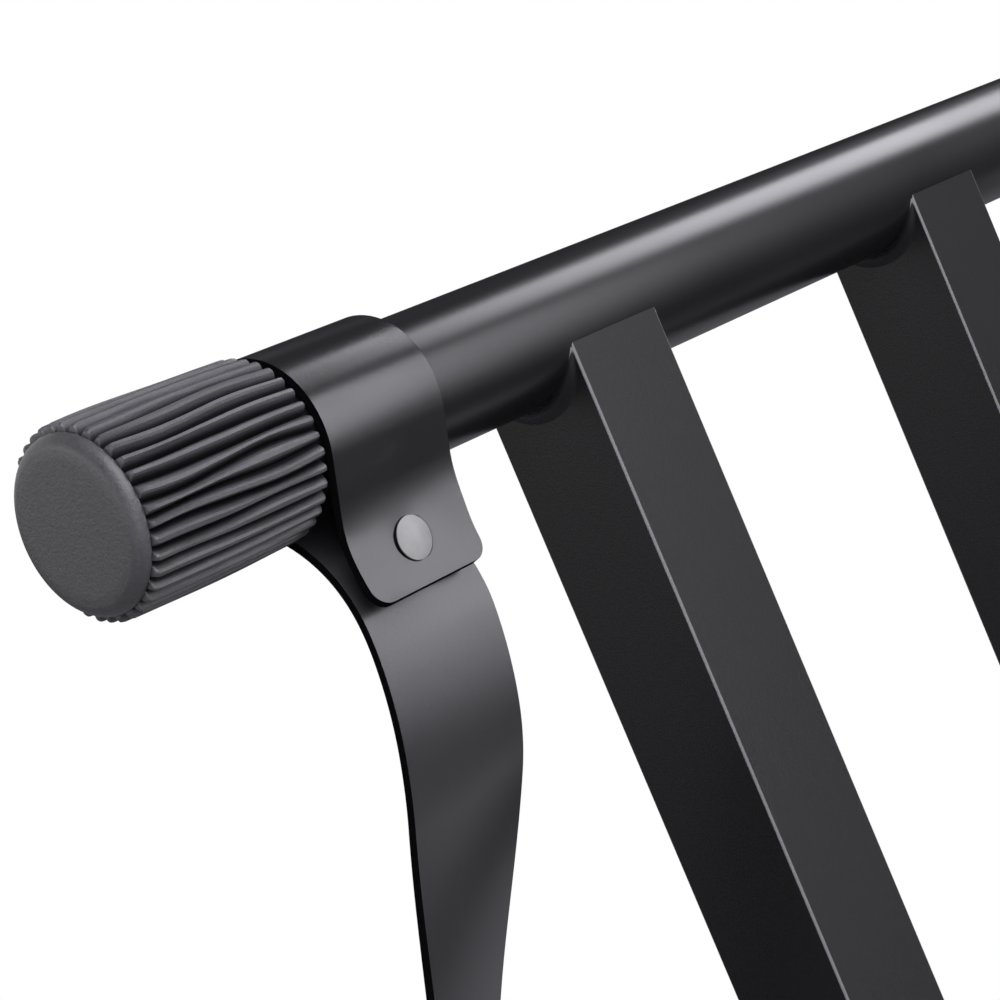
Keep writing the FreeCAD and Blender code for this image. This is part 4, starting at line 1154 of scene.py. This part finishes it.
def lamp(name, azimuth, elevation, distance, width, height, strength, roll=0):
    """An area lamp seen from the aim at an azimuth from +X and an elevation, in degrees."""
    a, e = math.radians(azimuth), math.radians(elevation)
    way = Vector((math.cos(a) * math.cos(e), math.sin(a) * math.cos(e), math.sin(e)))
    light = bpy.data.lights.new(name, "AREA")
    light.shape = "RECTANGLE"
    light.size, light.size_y = width, height
    light.energy = strength * math.pi * width * height
    light.color = LAMP_TINT
    made = bpy.data.objects.new(name, light)
    bpy.context.scene.collection.objects.link(made)
    made.location = AIM + way * distance
    made.rotation_mode = "QUATERNION"
    made.rotation_quaternion = (-way).to_track_quat("-Z", "Y") @ Quaternion((0, 0, 1), math.radians(roll))
    made.visible_camera = False
    print(name, "at", [round(x, 2) for x in made.location], "gives", round(light.energy, 1), "W")


lamp("right_strip", 47, 27, 1.3, 0.30, 1.0, 6.6, -35)
lamp("low_panel", 33, 2, 1.5, 0.26, 0.40, 6.0, -20)
lamp("floor_card", 42, -38, 1.0, 0.40, 0.25, 1.0)
lamp("left_panel", 99, 34, 2.2, 0.85, 0.85, 6.6)
lamp("top_panel", -36, 60, 0.75, 0.7, 0.7, 5.4)
lamp("front_panel", -128, -3, 1.5, 0.9, 0.6, 1.2)
lamp("edge_panel", -46, 18, 1.4, 0.28, 0.28, 9.0)

# %% [markdown]
# The walls are the world: white for the lens in every direction, white for the gloss up to some height above
# the horizon, and otherwise a dim grey, as in a large dark room.

# %% Walls
WALL_TOP, WALL_FADE = 0.22, 0.38
world = bpy.data.worlds.new("studio")
bpy.context.scene.world = world
world.use_nodes = True
way = Wire(world.node_tree).node("ShaderNodeTexCoord", {}, {}, "Generated")
lens, gloss = kinds_of_ray(world.node_tree)
wall = lens + gloss * open_side(way) * (1 - peaks(along(way, (0, 0, 1)), WALL_TOP, WALL_FADE))
surround = tint(wall, (0.04, 0.04, 0.042), (1, 1, 1))
world.node_tree.links.new(surround.socket, world.node_tree.nodes["Background"].inputs["Color"])
print("walls have", len(world.node_tree.nodes), "nodes")

# %% [markdown]
# The camera stands in front and to the right, a little above the tube, with a long lens. Its place and
# direction come from fitting the tube's outline and the legs' edges in the photograph.

# %% Camera
EYE = Vector((0.03697, -0.40193, 0.95536))
LOOK = Vector((-0.57720, 0.71462, -0.39516))
RIGHT = Vector((0.77827, 0.62793, -0.0012))
camera_data = bpy.data.cameras.new("camera")
camera_data.lens = 91.08
camera_data.sensor_width = 36.0
camera_data.clip_start = 0.02
camera = bpy.data.objects.new("camera", camera_data)
bpy.context.scene.collection.objects.link(camera)
side = (RIGHT - LOOK * RIGHT.dot(LOOK)).normalized()
turn = Matrix((side, side.cross(LOOK), -LOOK)).transposed()
camera.matrix_world = Matrix.Translation(EYE) @ turn.to_4x4()
bpy.context.scene.camera = camera
bpy.context.scene.view_settings.view_transform = "Standard"
print("camera at", [round(x, 3) for x in camera.location], "lens", camera_data.lens)
